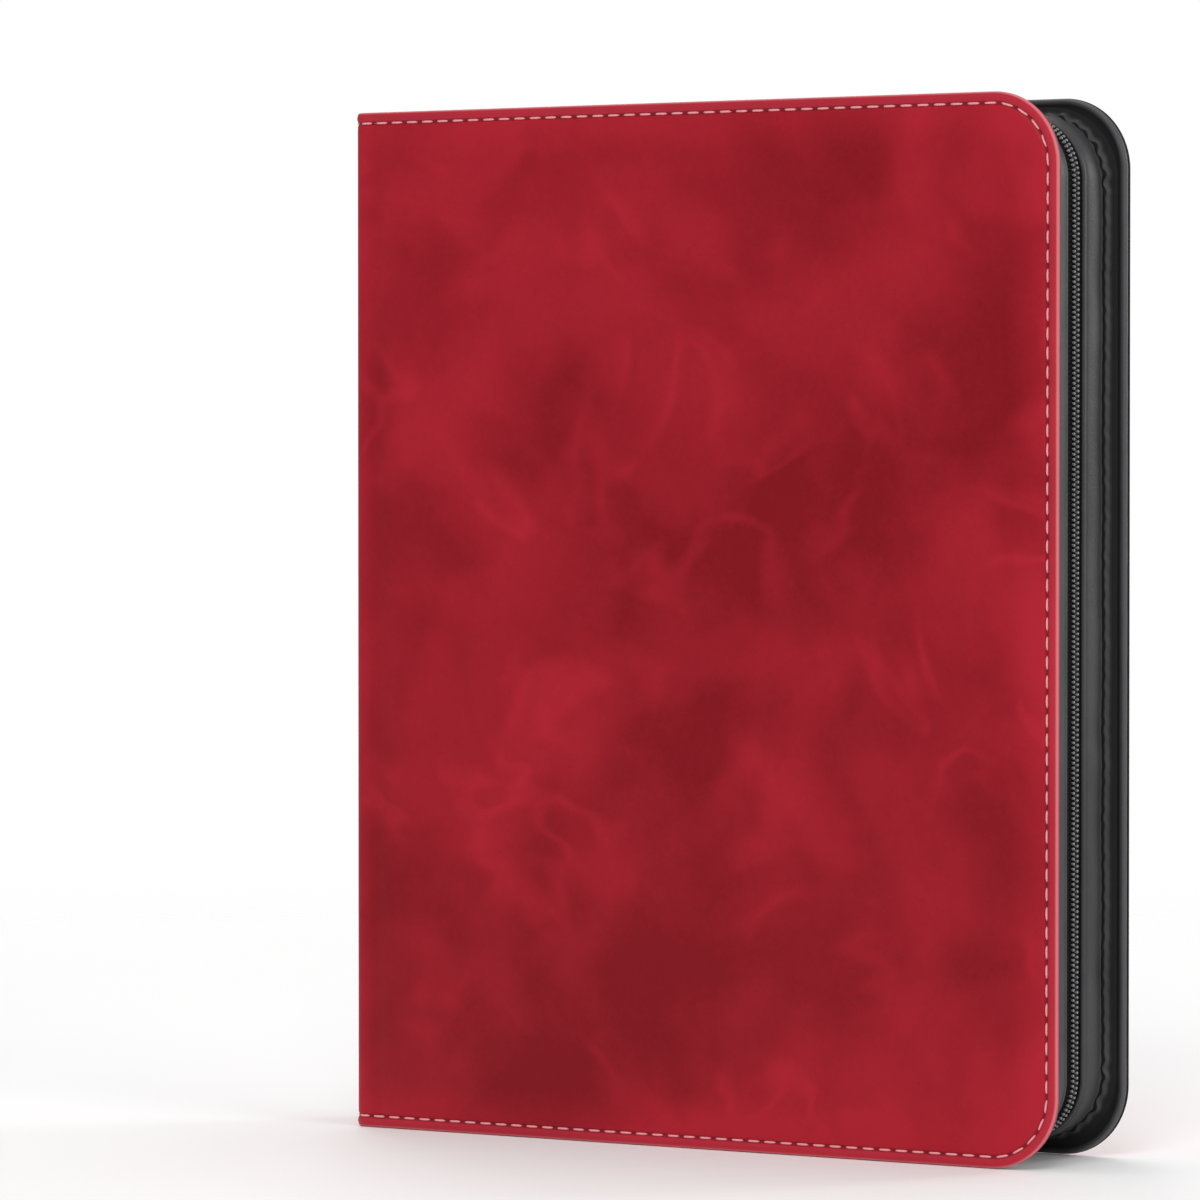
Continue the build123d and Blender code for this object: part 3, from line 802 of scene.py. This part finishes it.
def lining_face(name, side):
    """Black binding of one cover's edge in one piece with the lining.

    From under the leather it swells round a half circle, and dips to the flat lining past its inner side.
    """
    foot = HALF_DEPTH - SKIN_DEPTH - 3.44 * MM
    roll = (HALF_DEPTH - WRAP[side] + 0.35 * MM - foot) / 2
    centre = foot + roll
    turn = np.linspace(math.pi / 2, -math.pi / 2, 15)
    rim = roll * (1 - np.cos(turn)) + (0.40 if side == FRONT else 0.12) * MM
    depth = centre + roll * np.sin(turn)
    after = np.array([2.3, 2.7, 3.2, 4.0]) * MM
    dip = np.array([centre - roll + lift * MM for lift in (0.06, 0.2, 0.28, 0.28)])
    flat = 5 * MM + (TOP_Z / 2 - 5 * MM) * np.linspace(0, 1, 10) ** 2
    insets = np.concatenate([[2 * MM], rim, after, flat])
    depths = np.concatenate([[centre + roll], depth, dip, np.full(len(flat), LINING_DEPTH)])
    x, z = cover_rings(insets, PANEL_X, 120, 36, 150)
    phase = np.linspace(0, 1, x.shape[1])
    swell = 0.10 * MM * np.sin(phase * 391) * np.sin(phase * 157 + 1)
    swell = swell * np.exp(-((insets / (2 * MM)) ** 2))[:, None]
    y = side * (depths[:, None] - swell * (insets < 4 * MM)[:, None])
    # Painted shade in the valley past the binding's inner side, kept as the crease value.
    valley = 0.88 * smooth_step((insets - 1.3 * MM) / (1.1 * MM))
    valley = valley * (1 - smooth_step((insets - 6 * MM) / (3 * MM)))
    # Painted highlight on the back cover's black rim bead.
    painted_highlight = (side == BACK) & (insets < 1.0 * MM) & (depths < HALF_DEPTH - SKIN_DEPTH - 0.2 * MM)
    marks = {
        "crease": np.broadcast_to(valley[:, None], x.shape),
        "painted_rim_highlight": np.broadcast_to(painted_highlight[:, None], x.shape),
    }
    return piece(name, [sheet(spread(x, y, z))], (0, -side, 0), marks)


def hinge_groove(name, side):
    """Black lining that dips into the groove between the spine board and a cover's board.

    Across, it goes down the spine board's edge, round a quarter circle and up the cover board's edge.
    """
    inner = ROLL - 1.4 * MM
    turn = np.linspace(0, math.pi / 2, 12)
    x = [np.linspace(SPINE_INSIDE + 0.02 * MM, PANEL_X - inner, 5, endpoint=False)]
    y = [np.full(5, HALF_SPINE - 0.02 * MM)]
    x.append(PANEL_X - inner * np.cos(turn))
    y.append(HALF_SPINE + inner * np.sin(turn))
    x.append(np.full(5, PANEL_X))
    y.append(np.linspace(HALF_SPINE + inner, LINING_DEPTH - 0.02 * MM, 6)[1:])
    x, y = np.concatenate(x), np.concatenate(y)
    z = np.linspace(0.3 * MM, TOP_Z - 0.3 * MM, 60)
    return piece(name, [sheet(spread(x, side * y, z[:, None]))], (1, -side, 0))


def seam_stitches(name, side):
    """Single stitches of thick thread in the seam's groove, each dipping into the leather at its ends.

    They are laid out on the flat leather, as (along, height, z), and wrapped round the hinge with it.
    """
    start = PANEL_X - HINGE
    length = edge_length(SEAM_INSET, COVER_CORNER - SEAM_INSET, start)
    count = int(length / STITCH_PITCH)
    centre = (np.arange(count) + 0.5) * STITCH_PITCH
    path, normal = edge_path(SEAM_INSET, COVER_CORNER - SEAM_INSET, start, centre)
    centres = spread(path[:, 0] - start, -0.20 * MM, path[:, 1])
    along = spread(-normal[:, 1], 0.0, normal[:, 0])
    up = np.broadcast_to([0.0, 1.0, 0.0], along.shape)
    reach = np.linspace(-1, 1, 9)
    radius = 0.37 * MM * np.sqrt(np.clip(1 - np.abs(reach) ** 5, 0, 1))
    profile = np.stack([reach * 2.5 * MM, -0.40 * MM * reach**2, radius], -1)

    def wrap(points):
        """Lays flat points on the binder."""
        return spread(*wrap_leather(points[..., 0], points[..., 1], side), points[..., 2])

    return strands(name, centres, along, up, profile, 8, 1.1, wrap)


# ---- side walls and zip -----------------------------------------------------------------------------------
def wall_ripple(distance, depth, bend):
    """Soft wrinkles of the wall, deepest at the sewn crease and gathered in the bends.

    Sines whose spacing drifts, held to the crease by a bell curve. Bend is 1 in the corners.
    """
    drift = 0.6 * np.sin(distance / 0.031) + 0.5 * np.sin(distance / 0.013 + 1.1)
    quick = np.sin(distance / 0.00085 + 1.7 * drift) + 0.7 * np.sin(distance / 0.00135 + 2.3 * drift)
    slow = np.sin(distance / 0.0075 + 1.4 * drift)
    crease = np.exp(-(((depth - 20.4 * MM) / (1.7 * MM)) ** 2))
    wide = smooth_step((depth - 7 * MM) / (9 * MM)) * (depth < 22.6 * MM)
    return ((0.16 + 0.42 * bend) * quick * crease + (0.12 + 0.16 * bend) * slow * wide) * MM


def side_wall(name, side):
    """Black side wall of one cover, its hem at the zip and its flange sewn to the lining.

    The profile is a closed loop: round the hem, up the outside, into the crease, over a small roll, down
    the flange to the lining and back inside.
    """
    hem = np.linspace(-math.pi / 2, math.pi / 2, 7)
    half = WALL / 2
    hem = [(-half + half * math.sin(a), ZIP_WINDOW + half - half * math.cos(a)) for a in hem]
    climb = np.arange(8.8, 18.2, 1.04)
    belly = [(0.06 + 0.55 * math.sin((y - 8.2) / 10.4 * math.pi) ** 0.7, y) for y in climb]
    seam = [(0.06, 6.5), (0.04, 7.1), (-0.22, 7.5), (0.04, 7.9)]
    crease = [(0.34, 18.3), (0.22, 18.75), (-0.45, 19.05), (-1.05, 19.4), (-1.05, 19.75), (-0.35, 20.1)]
    fold = [(0.28, 20.3), (0.75, 20.55), (1.15, 20.95), (1.45, 21.4), (1.8, 21.8), (2.4, 22.15), (3.1, 22.5)]
    reach, foot = WALL_INSET - FLANGE_INSET, LINING_DEPTH + 0.1 * MM
    inside = [(reach, 22.85 * MM), (reach, foot), (-WALL, foot), (-WALL, 17 * MM), (-WALL, 11 * MM)]
    profile = np.concatenate([hem, np.array(seam + belly + crease + fold) * MM, inside])
    # Painted shade: dark in the deep crease and in the flange's valley down to the lining, kept as the
    # crease value.
    deep = (profile[:, 1] > 18.9 * MM) & (profile[:, 1] < 20.4 * MM) & (profile[:, 0] > -1.3 * MM)
    shade = deep + 0.88 * smooth_step((profile[:, 0] - 1.3 * MM) / (0.8 * MM))
    radius = WALL_CORNER
    length = edge_length(WALL_INSET, radius, WALL_START)
    run = FORE_X - WALL_INSET - radius - WALL_START
    arc = radius * math.pi / 2
    ends = [0, run - 5 * MM, run + arc + 5 * MM]
    ends += [length - end for end in ends[::-1]]
    counts = (190, 80, 340, 80, 190)
    distance = np.concatenate([np.linspace(*ends[i : i + 2], count) for i, count in enumerate(counts)])
    distance = np.unique(distance)
    from_corner = np.minimum(abs(distance - run - arc / 2), abs(distance - length + run + arc / 2))
    bend = 1 - smooth_step((from_corner - 0.35 * arc) / (0.5 * arc))
    ripple = wall_ripple(distance[:, None], profile[:, 1][None, :], bend[:, None])
    ripple = ripple * (profile[:, 0] > -1.3 * MM)[None, :]
    grid = capped(swept(profile, WALL_INSET, radius, WALL_START, distance, side, ripple))
    marks = np.broadcast_to(np.clip(shade, 0, 1)[None, :], grid.shape[:2])
    return piece(name, [tube(grid)], values={"crease": marks})


def zip_tape(name, side):
    """Woven tape of one half of the zip: a thin strip behind the wall's hem, thicker at its woven edge."""
    back = 0.6 * MM
    front = np.array([(0, 0), (0, 0.5), (0, 2.4), (-0.08, 2.9), (-0.02, 3.3)]) * MM + [0, TAPE_EDGE]
    profile = np.concatenate([front, [(-0.02 * MM, TAPE_DEPTH), (-back, TAPE_DEPTH), (-back, TAPE_EDGE)]])
    radius = WALL_CORNER - WALL
    distance = np.linspace(0, edge_length(TAPE_INSET, radius, WALL_START), 300)
    return piece(name, [tube(capped(swept(profile, TAPE_INSET, radius, WALL_START, distance, side)))])


def zip_teeth(name, side):
    """One row of the coil: a flat loop of nylon at each pitch, its head reaching between the other row's."""
    starts = {FRONT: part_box("front_zip_coil")[0][0], BACK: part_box("back_zip_coil")[0][0]}
    start = starts[side]
    sunk = 0.25 * MM
    inset = WALL_INSET + sunk
    radius = WALL_CORNER - sunk
    length = edge_length(inset, radius, start)
    first = 0.5 * TOOTH_PITCH if side == FRONT else TOOTH_PITCH
    shift = (starts[FRONT] - start) % TOOTH_PITCH
    place = np.arange(first + shift, length - 0.5 * TOOTH_PITCH, TOOTH_PITCH)
    path, normal = edge_path(inset, radius, start, place)
    centres = spread(path[:, 0], side * 1.32 * MM, path[:, 1])
    along = np.broadcast_to([0.0, side, 0.0], centres.shape)
    up = spread(normal[:, 0], 0.0, normal[:, 1])
    reach = (-1.15, -1.02, -0.60, -0.15, 0.22, 0.60, 0.86, 0.97)
    lift = (-0.62, -0.42, -0.10, 0.10, 0.12, -0.10, -0.50, -0.80)
    radius = (0.02, 0.30, 0.42, 0.52, 0.53, 0.44, 0.30, 0.02)
    return strands(name, centres, along, up, np.stack([reach, lift, radius], -1) * MM, 8, 1.12)


def swept_bar(points, across, profile, closed):
    """A bar along a flat path: its profile of (sideways, lift) is set square to the path at each point.

    Across is the direction that lift goes in. The sideways direction comes from the path's own tangent.
    """
    ahead = np.roll(points, -1, 0) - np.roll(points, 1, 0)
    if not closed:
        ahead[0], ahead[-1] = points[1] - points[0], points[-1] - points[-2]
    ahead = ahead / np.linalg.norm(ahead, axis=1)[:, None]
    sideways = np.cross(ahead, across)
    grid = points[:, None, :] + profile[:, :1] * sideways[:, None, :] + profile[:, 1:] * across
    return (grid, True, True, None) if closed else tube(capped(grid))


def rounded_profile(width, height, power=4.0, count=20):
    """A rectangle with soft corners: a superellipse of this width and height."""
    across, lift = superellipse(np.linspace(0, 2 * math.pi, count, endpoint=False), power)
    return np.stack([width / 2 * across, height / 2 * lift], -1)


SLIDER_LOW, SLIDER_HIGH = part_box("slider_body")
PLATE = 1.15 * MM
LIP = 1.1 * MM


def slider_width(x):
    """Half width of the slider: full at its shoulders, narrow at its tail, both ends rounded."""
    length = SLIDER_HIGH[0] - SLIDER_LOW[0]
    t = (x - SLIDER_LOW[0]) / length
    taper = 1 - 0.24 * smooth_step((t - 0.3) / 0.6)
    nose, tail = (np.sqrt(1 - np.clip(1 - end / 0.12, 0, 1) ** 2) for end in (t, 1 - t))
    return SLIDER_HIGH[1] * taper * (0.88 + 0.12 * nose) * (0.88 + 0.12 * tail)


def zip_slider():
    """Painted slider: an upper plate with side lips, a lower plate, and the post between the rows.

    The upper plate is an open channel round the coil: its outer line, domed and sagging at both ends, and
    its inner line run from the middle to a lip's foot and are mirrored. At both ends they close on the line
    half way between them, so that nothing spans the channel. The lower plate is a soft-cornered bar.
    """
    top, bottom = SLIDER_HIGH[2], SLIDER_LOW[2]
    lip_foot = TOP_Z - TAPE_INSET + 0.3 * MM
    x = SLIDER_LOW[0] + (SLIDER_HIGH[0] - SLIDER_LOW[0]) * (1 - np.cos(np.linspace(0, math.pi, 26))) / 2
    half = slider_width(x)[:, None]
    end = np.clip(np.minimum(x - x[0], x[-1] - x) / (1.2 * MM), 0, 1)[:, None]
    sag = 0.5 * MM * (1 - np.sqrt(1 - (1 - end) ** 2))

    turn = np.linspace(0, math.pi / 2, 6)
    shoulder = 0.9 * MM
    across = np.concatenate([[0.0], 1 - shoulder / half.max() * (1 - np.sin(turn))])
    lift = np.concatenate([[0.12 * MM], -shoulder * (1 - np.cos(turn))])
    outer_y = np.concatenate([half * across, half, half - 0.35 * MM], 1)
    lip_z = np.array([lip_foot + 0.3 * MM, lip_foot]) + 0 * half
    outer_z = np.concatenate([top - 0.12 * MM + lift - sag + 0 * half, lip_z], 1)
    inner_y = (half - LIP) * np.concatenate([np.linspace(0, 1, 6), np.ones(3)])
    inner_z = np.concatenate([np.full(6, top - PLATE), np.linspace(top - PLATE, lip_foot, 4)[1:]]) + 0 * half
    outer = np.stack([outer_y, outer_z], -1)
    inner = np.stack([inner_y, inner_z], -1)
    middle_line = (outer + inner) / 2
    mirror = np.array([-1.0, 1.0])

    def channel(over, under):
        """The closed section from its outer and inner line and their mirror images."""
        return np.concatenate([over, under[:, ::-1], under[:, 1:] * mirror, over[:, :0:-1] * mirror], 1)

    ends = channel(middle_line, middle_line)
    section = np.concatenate([ends[:1], channel(outer, inner), ends[-1:]])
    along = np.concatenate([x[:1], x, x[-1:]])[:, None]
    upper = spread(along, section[..., 0], section[..., 1])
    shape = rounded_profile(2.0, PLATE, 5.0, 28)
    thin = 1 - 0.3 * (1 - end)
    lower = spread(x[:, None], half * shape[:, 0], bottom + PLATE / 2 + shape[:, 1] * thin)
    post_x = SLIDER_LOW[0] + np.linspace(0.1, 3.0, 8) * MM
    post = rounded_profile(0.28 * MM, top - bottom - 1.2 * MM, 6.0, 12)
    slim = np.linspace(1.0, 0.5, 8)[:, None]
    middle = (top + bottom) / 2
    wedge = spread(post_x[:, None], slim * post[:, 0], middle + post[:, 1])
    made = piece("zip_slider", [tube(grid) for grid in (upper, capped(lower), capped(wedge))])
    finish_piece(made, ZIP_METAL, "black_zip_metal", "slider_body")
    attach(made, "slider")


def slider_arch():
    """Arch over the slider that holds the pull: a soft-cornered bar along half a superellipse."""
    low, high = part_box("slider_bridge")
    centre = (low[0] + high[0]) / 2
    across, lift = superellipse(np.linspace(0, math.pi, 28), 3)
    bar = 0.95 * MM
    foot = low[2] - 0.4 * MM
    x = centre + (high[0] - low[0] - bar) / 2 * across
    points = spread(x, 0.0, foot + (high[2] - foot - bar / 2) * lift)
    profile = rounded_profile(bar, high[1] - low[1], 3.5)
    made = piece("slider_arch", [swept_bar(points, np.array([0.0, 1, 0]), profile, False)])
    finish_piece(made, ZIP_METAL, "black_zip_metal", "slider_bridge")
    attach(made, "slider")


def pull_handle():
    """Tapered pull: a wire eye round the arch, a blade with a sunk face, and a ring round its hole.

    The blade's half width follows a smooth curve from the eye through a waist to the ring.
    """
    low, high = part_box("pull_tab")
    middle = (low[2] + high[2]) / 2
    pin_x = low[0] + 0.7 * MM
    up = np.array([0.0, 0, 1])
    turn = np.linspace(0, 2 * math.pi, 48, endpoint=False)
    across, lift = superellipse(turn, 5)
    eye = spread(pin_x + 2.9 * MM + 2.9 * MM * across, 2.05 * MM * lift, middle)
    grids = [swept_bar(eye, up, rounded_profile(1.25 * MM, 1.15 * MM, 2.6, 12), True)]
    hole = high[0] - (high[1] - low[1]) / 2
    ring = spread(hole + 1.95 * MM * np.cos(turn), 1.95 * MM * np.sin(turn), middle)
    grids.append(swept_bar(ring, up, rounded_profile(1.7 * MM, 1.1 * MM, 3.5, 16), True))
    x = np.linspace(pin_x + 5.3 * MM, hole - 1.4 * MM, 40)
    t = (x - x[0]) / (x[-1] - x[0])
    half = (2.55 - 0.85 * smooth_step(t / 0.25) + 0.72 * smooth_step((t - 0.25) / 0.7)) * MM
    share = np.array([-1, -0.97, -0.9, -0.72, -0.62, 0.62, 0.72, 0.9, 0.97, 1])
    face = np.array([0.25, 0.45, 0.55, 0.55, 0.38, 0.38, 0.55, 0.55, 0.45, 0.25]) * MM
    sink = smooth_step(np.minimum(t, 1 - t) / 0.08)[:, None]
    lift = 0.55 * MM - (0.55 * MM - face) * np.where(abs(share) < 0.65, sink, 1.0)
    y = half[:, None] * np.concatenate([share, share[::-1]])
    z = middle + np.concatenate([lift, -lift[:, ::-1]], 1)
    grids.append(tube(capped(spread(x[:, None], y, z))))
    made = piece("pull_handle", grids)
    finish_piece(made, ZIP_METAL, "black_zip_metal", "pull_tab")
    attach(made, "pull")


# ---- leaves -----------------------------------------------------------------------------------------------
LEAF_CORNER = 6 * MM
LEAF_THICKNESS = 0.5 * MM


def leaf_sheet(number):
    """Black base sheet of one leaf in one piece with the top of its upright margin.

    A thin slab whose height narrows along a quarter circle at the fore edge's corners. Across the fold it
    has a row of points every 0.3 mm.
    """
    name = f"leaf_{number:02d}_sheet"
    low, high = (np.array(corner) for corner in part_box(name))
    fold = low[0] - 0.3 * MM
    bend = fold + np.arange(-2.4, 2.5, 0.3) * MM
    flat = np.linspace(bend[-1], high[0] - LEAF_CORNER, 24)[1:]
    corner = high[0] - LEAF_CORNER + LEAF_CORNER * np.sin(np.linspace(0, math.pi / 2, 8))[1:]
    x = np.concatenate([bend, flat, corner])
    into = np.maximum(x - (high[0] - LEAF_CORNER), 0)
    cut = LEAF_CORNER - np.sqrt(np.maximum(LEAF_CORNER**2 - into**2, 0))
    share = np.linspace(0, 1, 12)[None, :]
    z = low[2] + cut[:, None] + (high[2] - low[2] - 2 * cut[:, None]) * share
    middle = (low[1] + high[1]) / 2
    face = spread(x[:, None], middle - LEAF_THICKNESS / 2, z)
    other = face[:, ::-1] + [0, LEAF_THICKNESS, 0]
    made = piece(f"{name}_cloth", [tube(capped(np.concatenate([face, other], 1)))])
    finish_piece(made, SHEET_CLOTH, "black_sheet", name)
    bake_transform(made)
    made.data.polygons.foreach_set("use_smooth", np.zeros(len(made.data.polygons), bool))


def pocket_places():
    """Middles of the three columns and the three rows of pockets, from the box that the sleeves fill."""
    low, high = (np.array(corner)[[0, 2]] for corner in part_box("leaf_05_toploaders"))
    return np.linspace(low + SLEEVE_SIZE / 2, high - SLEEVE_SIZE / 2, 3).T


COLUMNS, ROWS = pocket_places()
POCKETS = [(x, z) for z in ROWS for x in COLUMNS]


def domed_film(number, side):
    """Clear film round a middle leaf: flat on the welds, and raised over each sleeve on the open face.

    The height over the sheet is the sleeve's depth times a smooth step across and a smooth step up, each
    rising over the last millimetres of a pocket.
    """
    node = f"leaf_{number:02d}_pockets"
    low, high = (np.array(corner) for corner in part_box(node))
    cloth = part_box(f"leaf_{number:02d}_sheet")
    base = cloth[1][1] if side == FRONT else cloth[0][1]
    top = high[1] if side == FRONT else low[1]
    half = (38.9 * MM, 51.6 * MM)
    reach = np.array([0, 0.25, 0.5, 0.8, 1.2, 1.8, 2.8, 5.0]) * MM

    def samples(centres, half_size, start, end):
        """Places across one direction, close together at the rise of each pocket."""
        found = [np.array([start, end])]
        for centre in centres:
            found += [centre - half_size + reach - 0.4 * MM, centre + half_size - reach + 0.4 * MM]
            found.append(np.linspace(centre - half_size + 8 * MM, centre + half_size - 8 * MM, 8))
        return np.unique(np.clip(np.concatenate(found), start, end))

    x = samples(COLUMNS, half[0], low[0], high[0])
    z = samples(ROWS, half[1], low[2], high[2])

    def rise(values, centres, half_size):
        """1 inside a pocket, 0 on the weld, smooth over 1.2 mm."""
        inside = np.max([half_size - abs(values - centre) for centre in centres], axis=0)
        return smooth_step((inside + 0.2 * MM) / (1.4 * MM))

    lift = rise(x, COLUMNS, half[0])[:, None] * rise(z, ROWS, half[1])[None, :]
    sag = 1 - 0.05 * np.sin(x[:, None] * 300) * np.sin(z[None, :] * 170)
    weld = 0.16 * MM
    raised = base - side * (weld + (abs(top - base) - weld) * lift * sag)
    flat = cloth[0][1] + cloth[1][1] - base + side * (weld + 0.1 * MM * lift)
    front, back = (spread(x[:, None], depth, z[None, :]) for depth in (raised, flat))
    made = piece(f"{node}_film", [tube(capped(np.concatenate([front, back[:, ::-1]], 1)))])
    finish_piece(made, FILM, "clear_film", node)
    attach(made, f"leaf_{number:02d}")


def sleeves_and_cards(number):
    """Rigid sleeves and the cards in them on a middle leaf."""
    body = f"leaf_{number:02d}"
    sleeve_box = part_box(f"{body}_toploaders")
    middle = (sleeve_box[0][1] + sleeve_box[1][1]) / 2
    centres = [(x, middle, z) for x, z in POCKETS]
    sleeves = plates(f"{body}_rigid_sleeves", centres, SLEEVE_SIZE, 1.8 * MM, 3 * MM, 0.35 * MM)
    finish_piece(sleeves, RIGID, "rigid_clear", f"{body}_toploaders")
    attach(sleeves, body)
    card_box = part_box(f"{body}_cards")
    lift = card_box[0][2] + CARD_SIZE[1] / 2 - ROWS[0]
    depth = (card_box[0][1] + card_box[1][1]) / 2
    centres = [(x, depth, z + lift) for x, z in POCKETS]
    first = len(POCKETS) * list(MIDDLE_LEAVES).index(number)
    name = f"{body}_printed_cards"
    cards = plates(name, centres, CARD_SIZE, 0.35 * MM, 3 * MM, 0.1 * MM, "card", first)
    finish_piece(cards, CARD, "printed_card", f"{body}_cards")
    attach(cards, body)


# ---- put the binder together ------------------------------------------------------------------------------
def build_covers():
    """Leather, lining, stitches, walls, tape and coil of both covers.

    A piece that crosses the hinge is baked in place, and the others ride on their cover.
    """
    for word, side in SIDES.items():
        body = f"{word}_cover"
        for make, ending, coat, slot, nodes, bends in (
            (cover_leather, "cover_leather", LEATHER, "red_leather", ["skin", "hinge_skin"], True),
            (lining_face, "cover_lining", LINING_CLOTH, "black_lining", ["lining"], False),
            (hinge_groove, "hinge_groove", LINING_CLOTH, "black_lining", ["hinge_lining"], True),
            (seam_stitches, "seam_stitches", SEAM_THREAD, "pink_thread", ["seam_thread"], True),
            (side_wall, "side_wall", GUSSET_CLOTH, "black_gusset", ["gusset"], False),
            (zip_tape, "zip_tape_cloth", TAPE_CLOTH, "zip_tape", ["zip_tape"], False),
            (zip_teeth, "zip_teeth", COIL_NYLON, "zip_coil", ["zip_coil"], False),
        ):
            made = make(f"{word}_{ending}", side)
            replaced = [f"{word}_{node}" for node in nodes]
            if make is cover_leather:
                replaced += ["spine_skin"] if side == FRONT else []
            finish_piece(made, coat, slot, *replaced)
            if bends:
                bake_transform(made)
            else:
                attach(made, body)


def build_leaves():
    """Sheets of all the leaves, and the film, sleeves and cards of the two middle ones."""
    for number in range(1, LEAF_COUNT + 1):
        leaf_sheet(number)
    for number, side in MIDDLE_LEAVES.items():
        domed_film(number, side)
        sleeves_and_cards(number)


def coat_carried_nodes():
    """Better materials on the CAD nodes that stay."""
    coats = {
        "spine_board": BOARD,
        "spine_lining": LINING_CLOTH,
        "binding_strip": BINDING_CLOTH,
        "leaf_roots": SHEET_CLOTH,
        "gutter_guard": GUARD_CLOTH,
        "top_stop": STOP_METAL,
        "bottom_stop": STOP_METAL,
    }
    for word in SIDES:
        coats[f"{word}_foam"] = FOAM
        coats[f"{word}_board"] = BOARD
    for number in range(1, LEAF_COUNT + 1):
        if number not in MIDDLE_LEAVES:
            coats[f"leaf_{number:02d}_pockets"] = FILM
    for name, coat in coats.items():
        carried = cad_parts[name]
        if not carried.material_slots:
            carried.data.materials.append(None)
        for place in carried.material_slots:
            place.link = "OBJECT"
            place.material = coat


# ---- floor, light and camera ------------------------------------------------------------------------------
def build_floor():
    """Pale round floor that fades into the white round it, so that no edge shows from any side."""
    coat = Coat("pale_floor", 0.7, 0.1)
    tone = coat.noise(coat.where, 3.0)
    coat.give("Base Color", coat.mix(tone, (0.93, 0.93, 0.93), (0.96, 0.96, 0.96)))
    coat.give("Alpha", 1.0 - coat.band(coat.length(coat.where), 0.35, 1.5))
    turn = np.linspace(0, 2 * math.pi, 96, endpoint=False)
    radius = np.linspace(0, 1.6, 9)[:, None]
    grid = spread(radius * np.cos(turn), radius * np.sin(turn), -0.2 * MM)
    floor = piece("pale_floor_sheet", [tube(grid)], (0, 0, 1))
    floor.data.materials.append(coat.material)


def build_sky():
    """White surroundings: what the camera sees of them is brighter than the light that they give."""
    world = bpy.data.worlds.new("soft_studio")
    world.use_nodes = True
    shades = Shades(world.node_tree)
    background = world.node_tree.nodes["Background"].inputs
    shades.set(background["Color"], (1.0, 1.0, 1.0))
    seen = shades.value("Is Camera Ray", "ShaderNodeLightPath")
    shades.set(background["Strength"], shades.blend(seen, 0.48, 1.0))
    bpy.context.scene.world = world
    bpy.context.scene.view_settings.view_transform = "Standard"


def build_lamps():
    """Soft lamps in front, at the fore edge, above and behind."""
    lamps = (
        ("key_softbox", (0.9, -2.2, 1.9), 1.3, 30.0),
        ("side_softbox", (2.1, -0.5, 1.0), 1.0, 12.0),
        ("back_softbox", (1.3, 1.8, 0.7), 0.6, 12.0),
        ("top_softbox", (-0.2, 0.3, 2.2), 1.4, 12.0),
        ("rear_softbox", (-1.7, 1.9, 1.6), 1.3, 14.0),
    )
    for name, place, size, power in lamps:
        lamp = bpy.data.lights.new(name, "AREA")
        lamp.size = size
        lamp.energy = power
        holder = bpy.data.objects.new(name, lamp)
        holder.location = place
        aim = Vector((0, 0, TOP_Z / 2)) - Vector(place)
        holder.rotation_euler = aim.to_track_quat("-Z", "Y").to_euler()
        holder.visible_camera = False
        bpy.context.scene.collection.objects.link(holder)


CAMERA_TURN = math.radians(31.87)
CAMERA_DISTANCE = 2.125
CAMERA_ASIDE = 0.1534
CAMERA_HEIGHT = 0.2412
CAMERA_LENS = 190.0
CAMERA_TILT = math.radians(1.307)


def build_camera():
    """A long-lens camera, tilted a little down, that looks at the front cover and the fore edge."""
    lens = bpy.data.cameras.new("camera")
    lens.lens = CAMERA_LENS
    lens.sensor_width = 36
    lens.clip_end = 50
    holder = bpy.data.objects.new("camera", lens)
    right = Vector((math.cos(CAMERA_TURN), math.sin(CAMERA_TURN), 0))
    ahead = Vector((-math.sin(CAMERA_TURN), math.cos(CAMERA_TURN), 0))
    edge = Vector((FORE_X, -HALF_DEPTH, CAMERA_HEIGHT))
    holder.location = edge - right * CAMERA_ASIDE - ahead * CAMERA_DISTANCE
    holder.rotation_euler = (math.pi / 2 - CAMERA_TILT, 0, CAMERA_TURN)
    bpy.context.scene.collection.objects.link(holder)
    bpy.context.scene.camera = holder


build_covers()
zip_slider()
slider_arch()
pull_handle()
build_leaves()
coat_carried_nodes()
build_floor()
build_sky()
build_lamps()
build_camera()
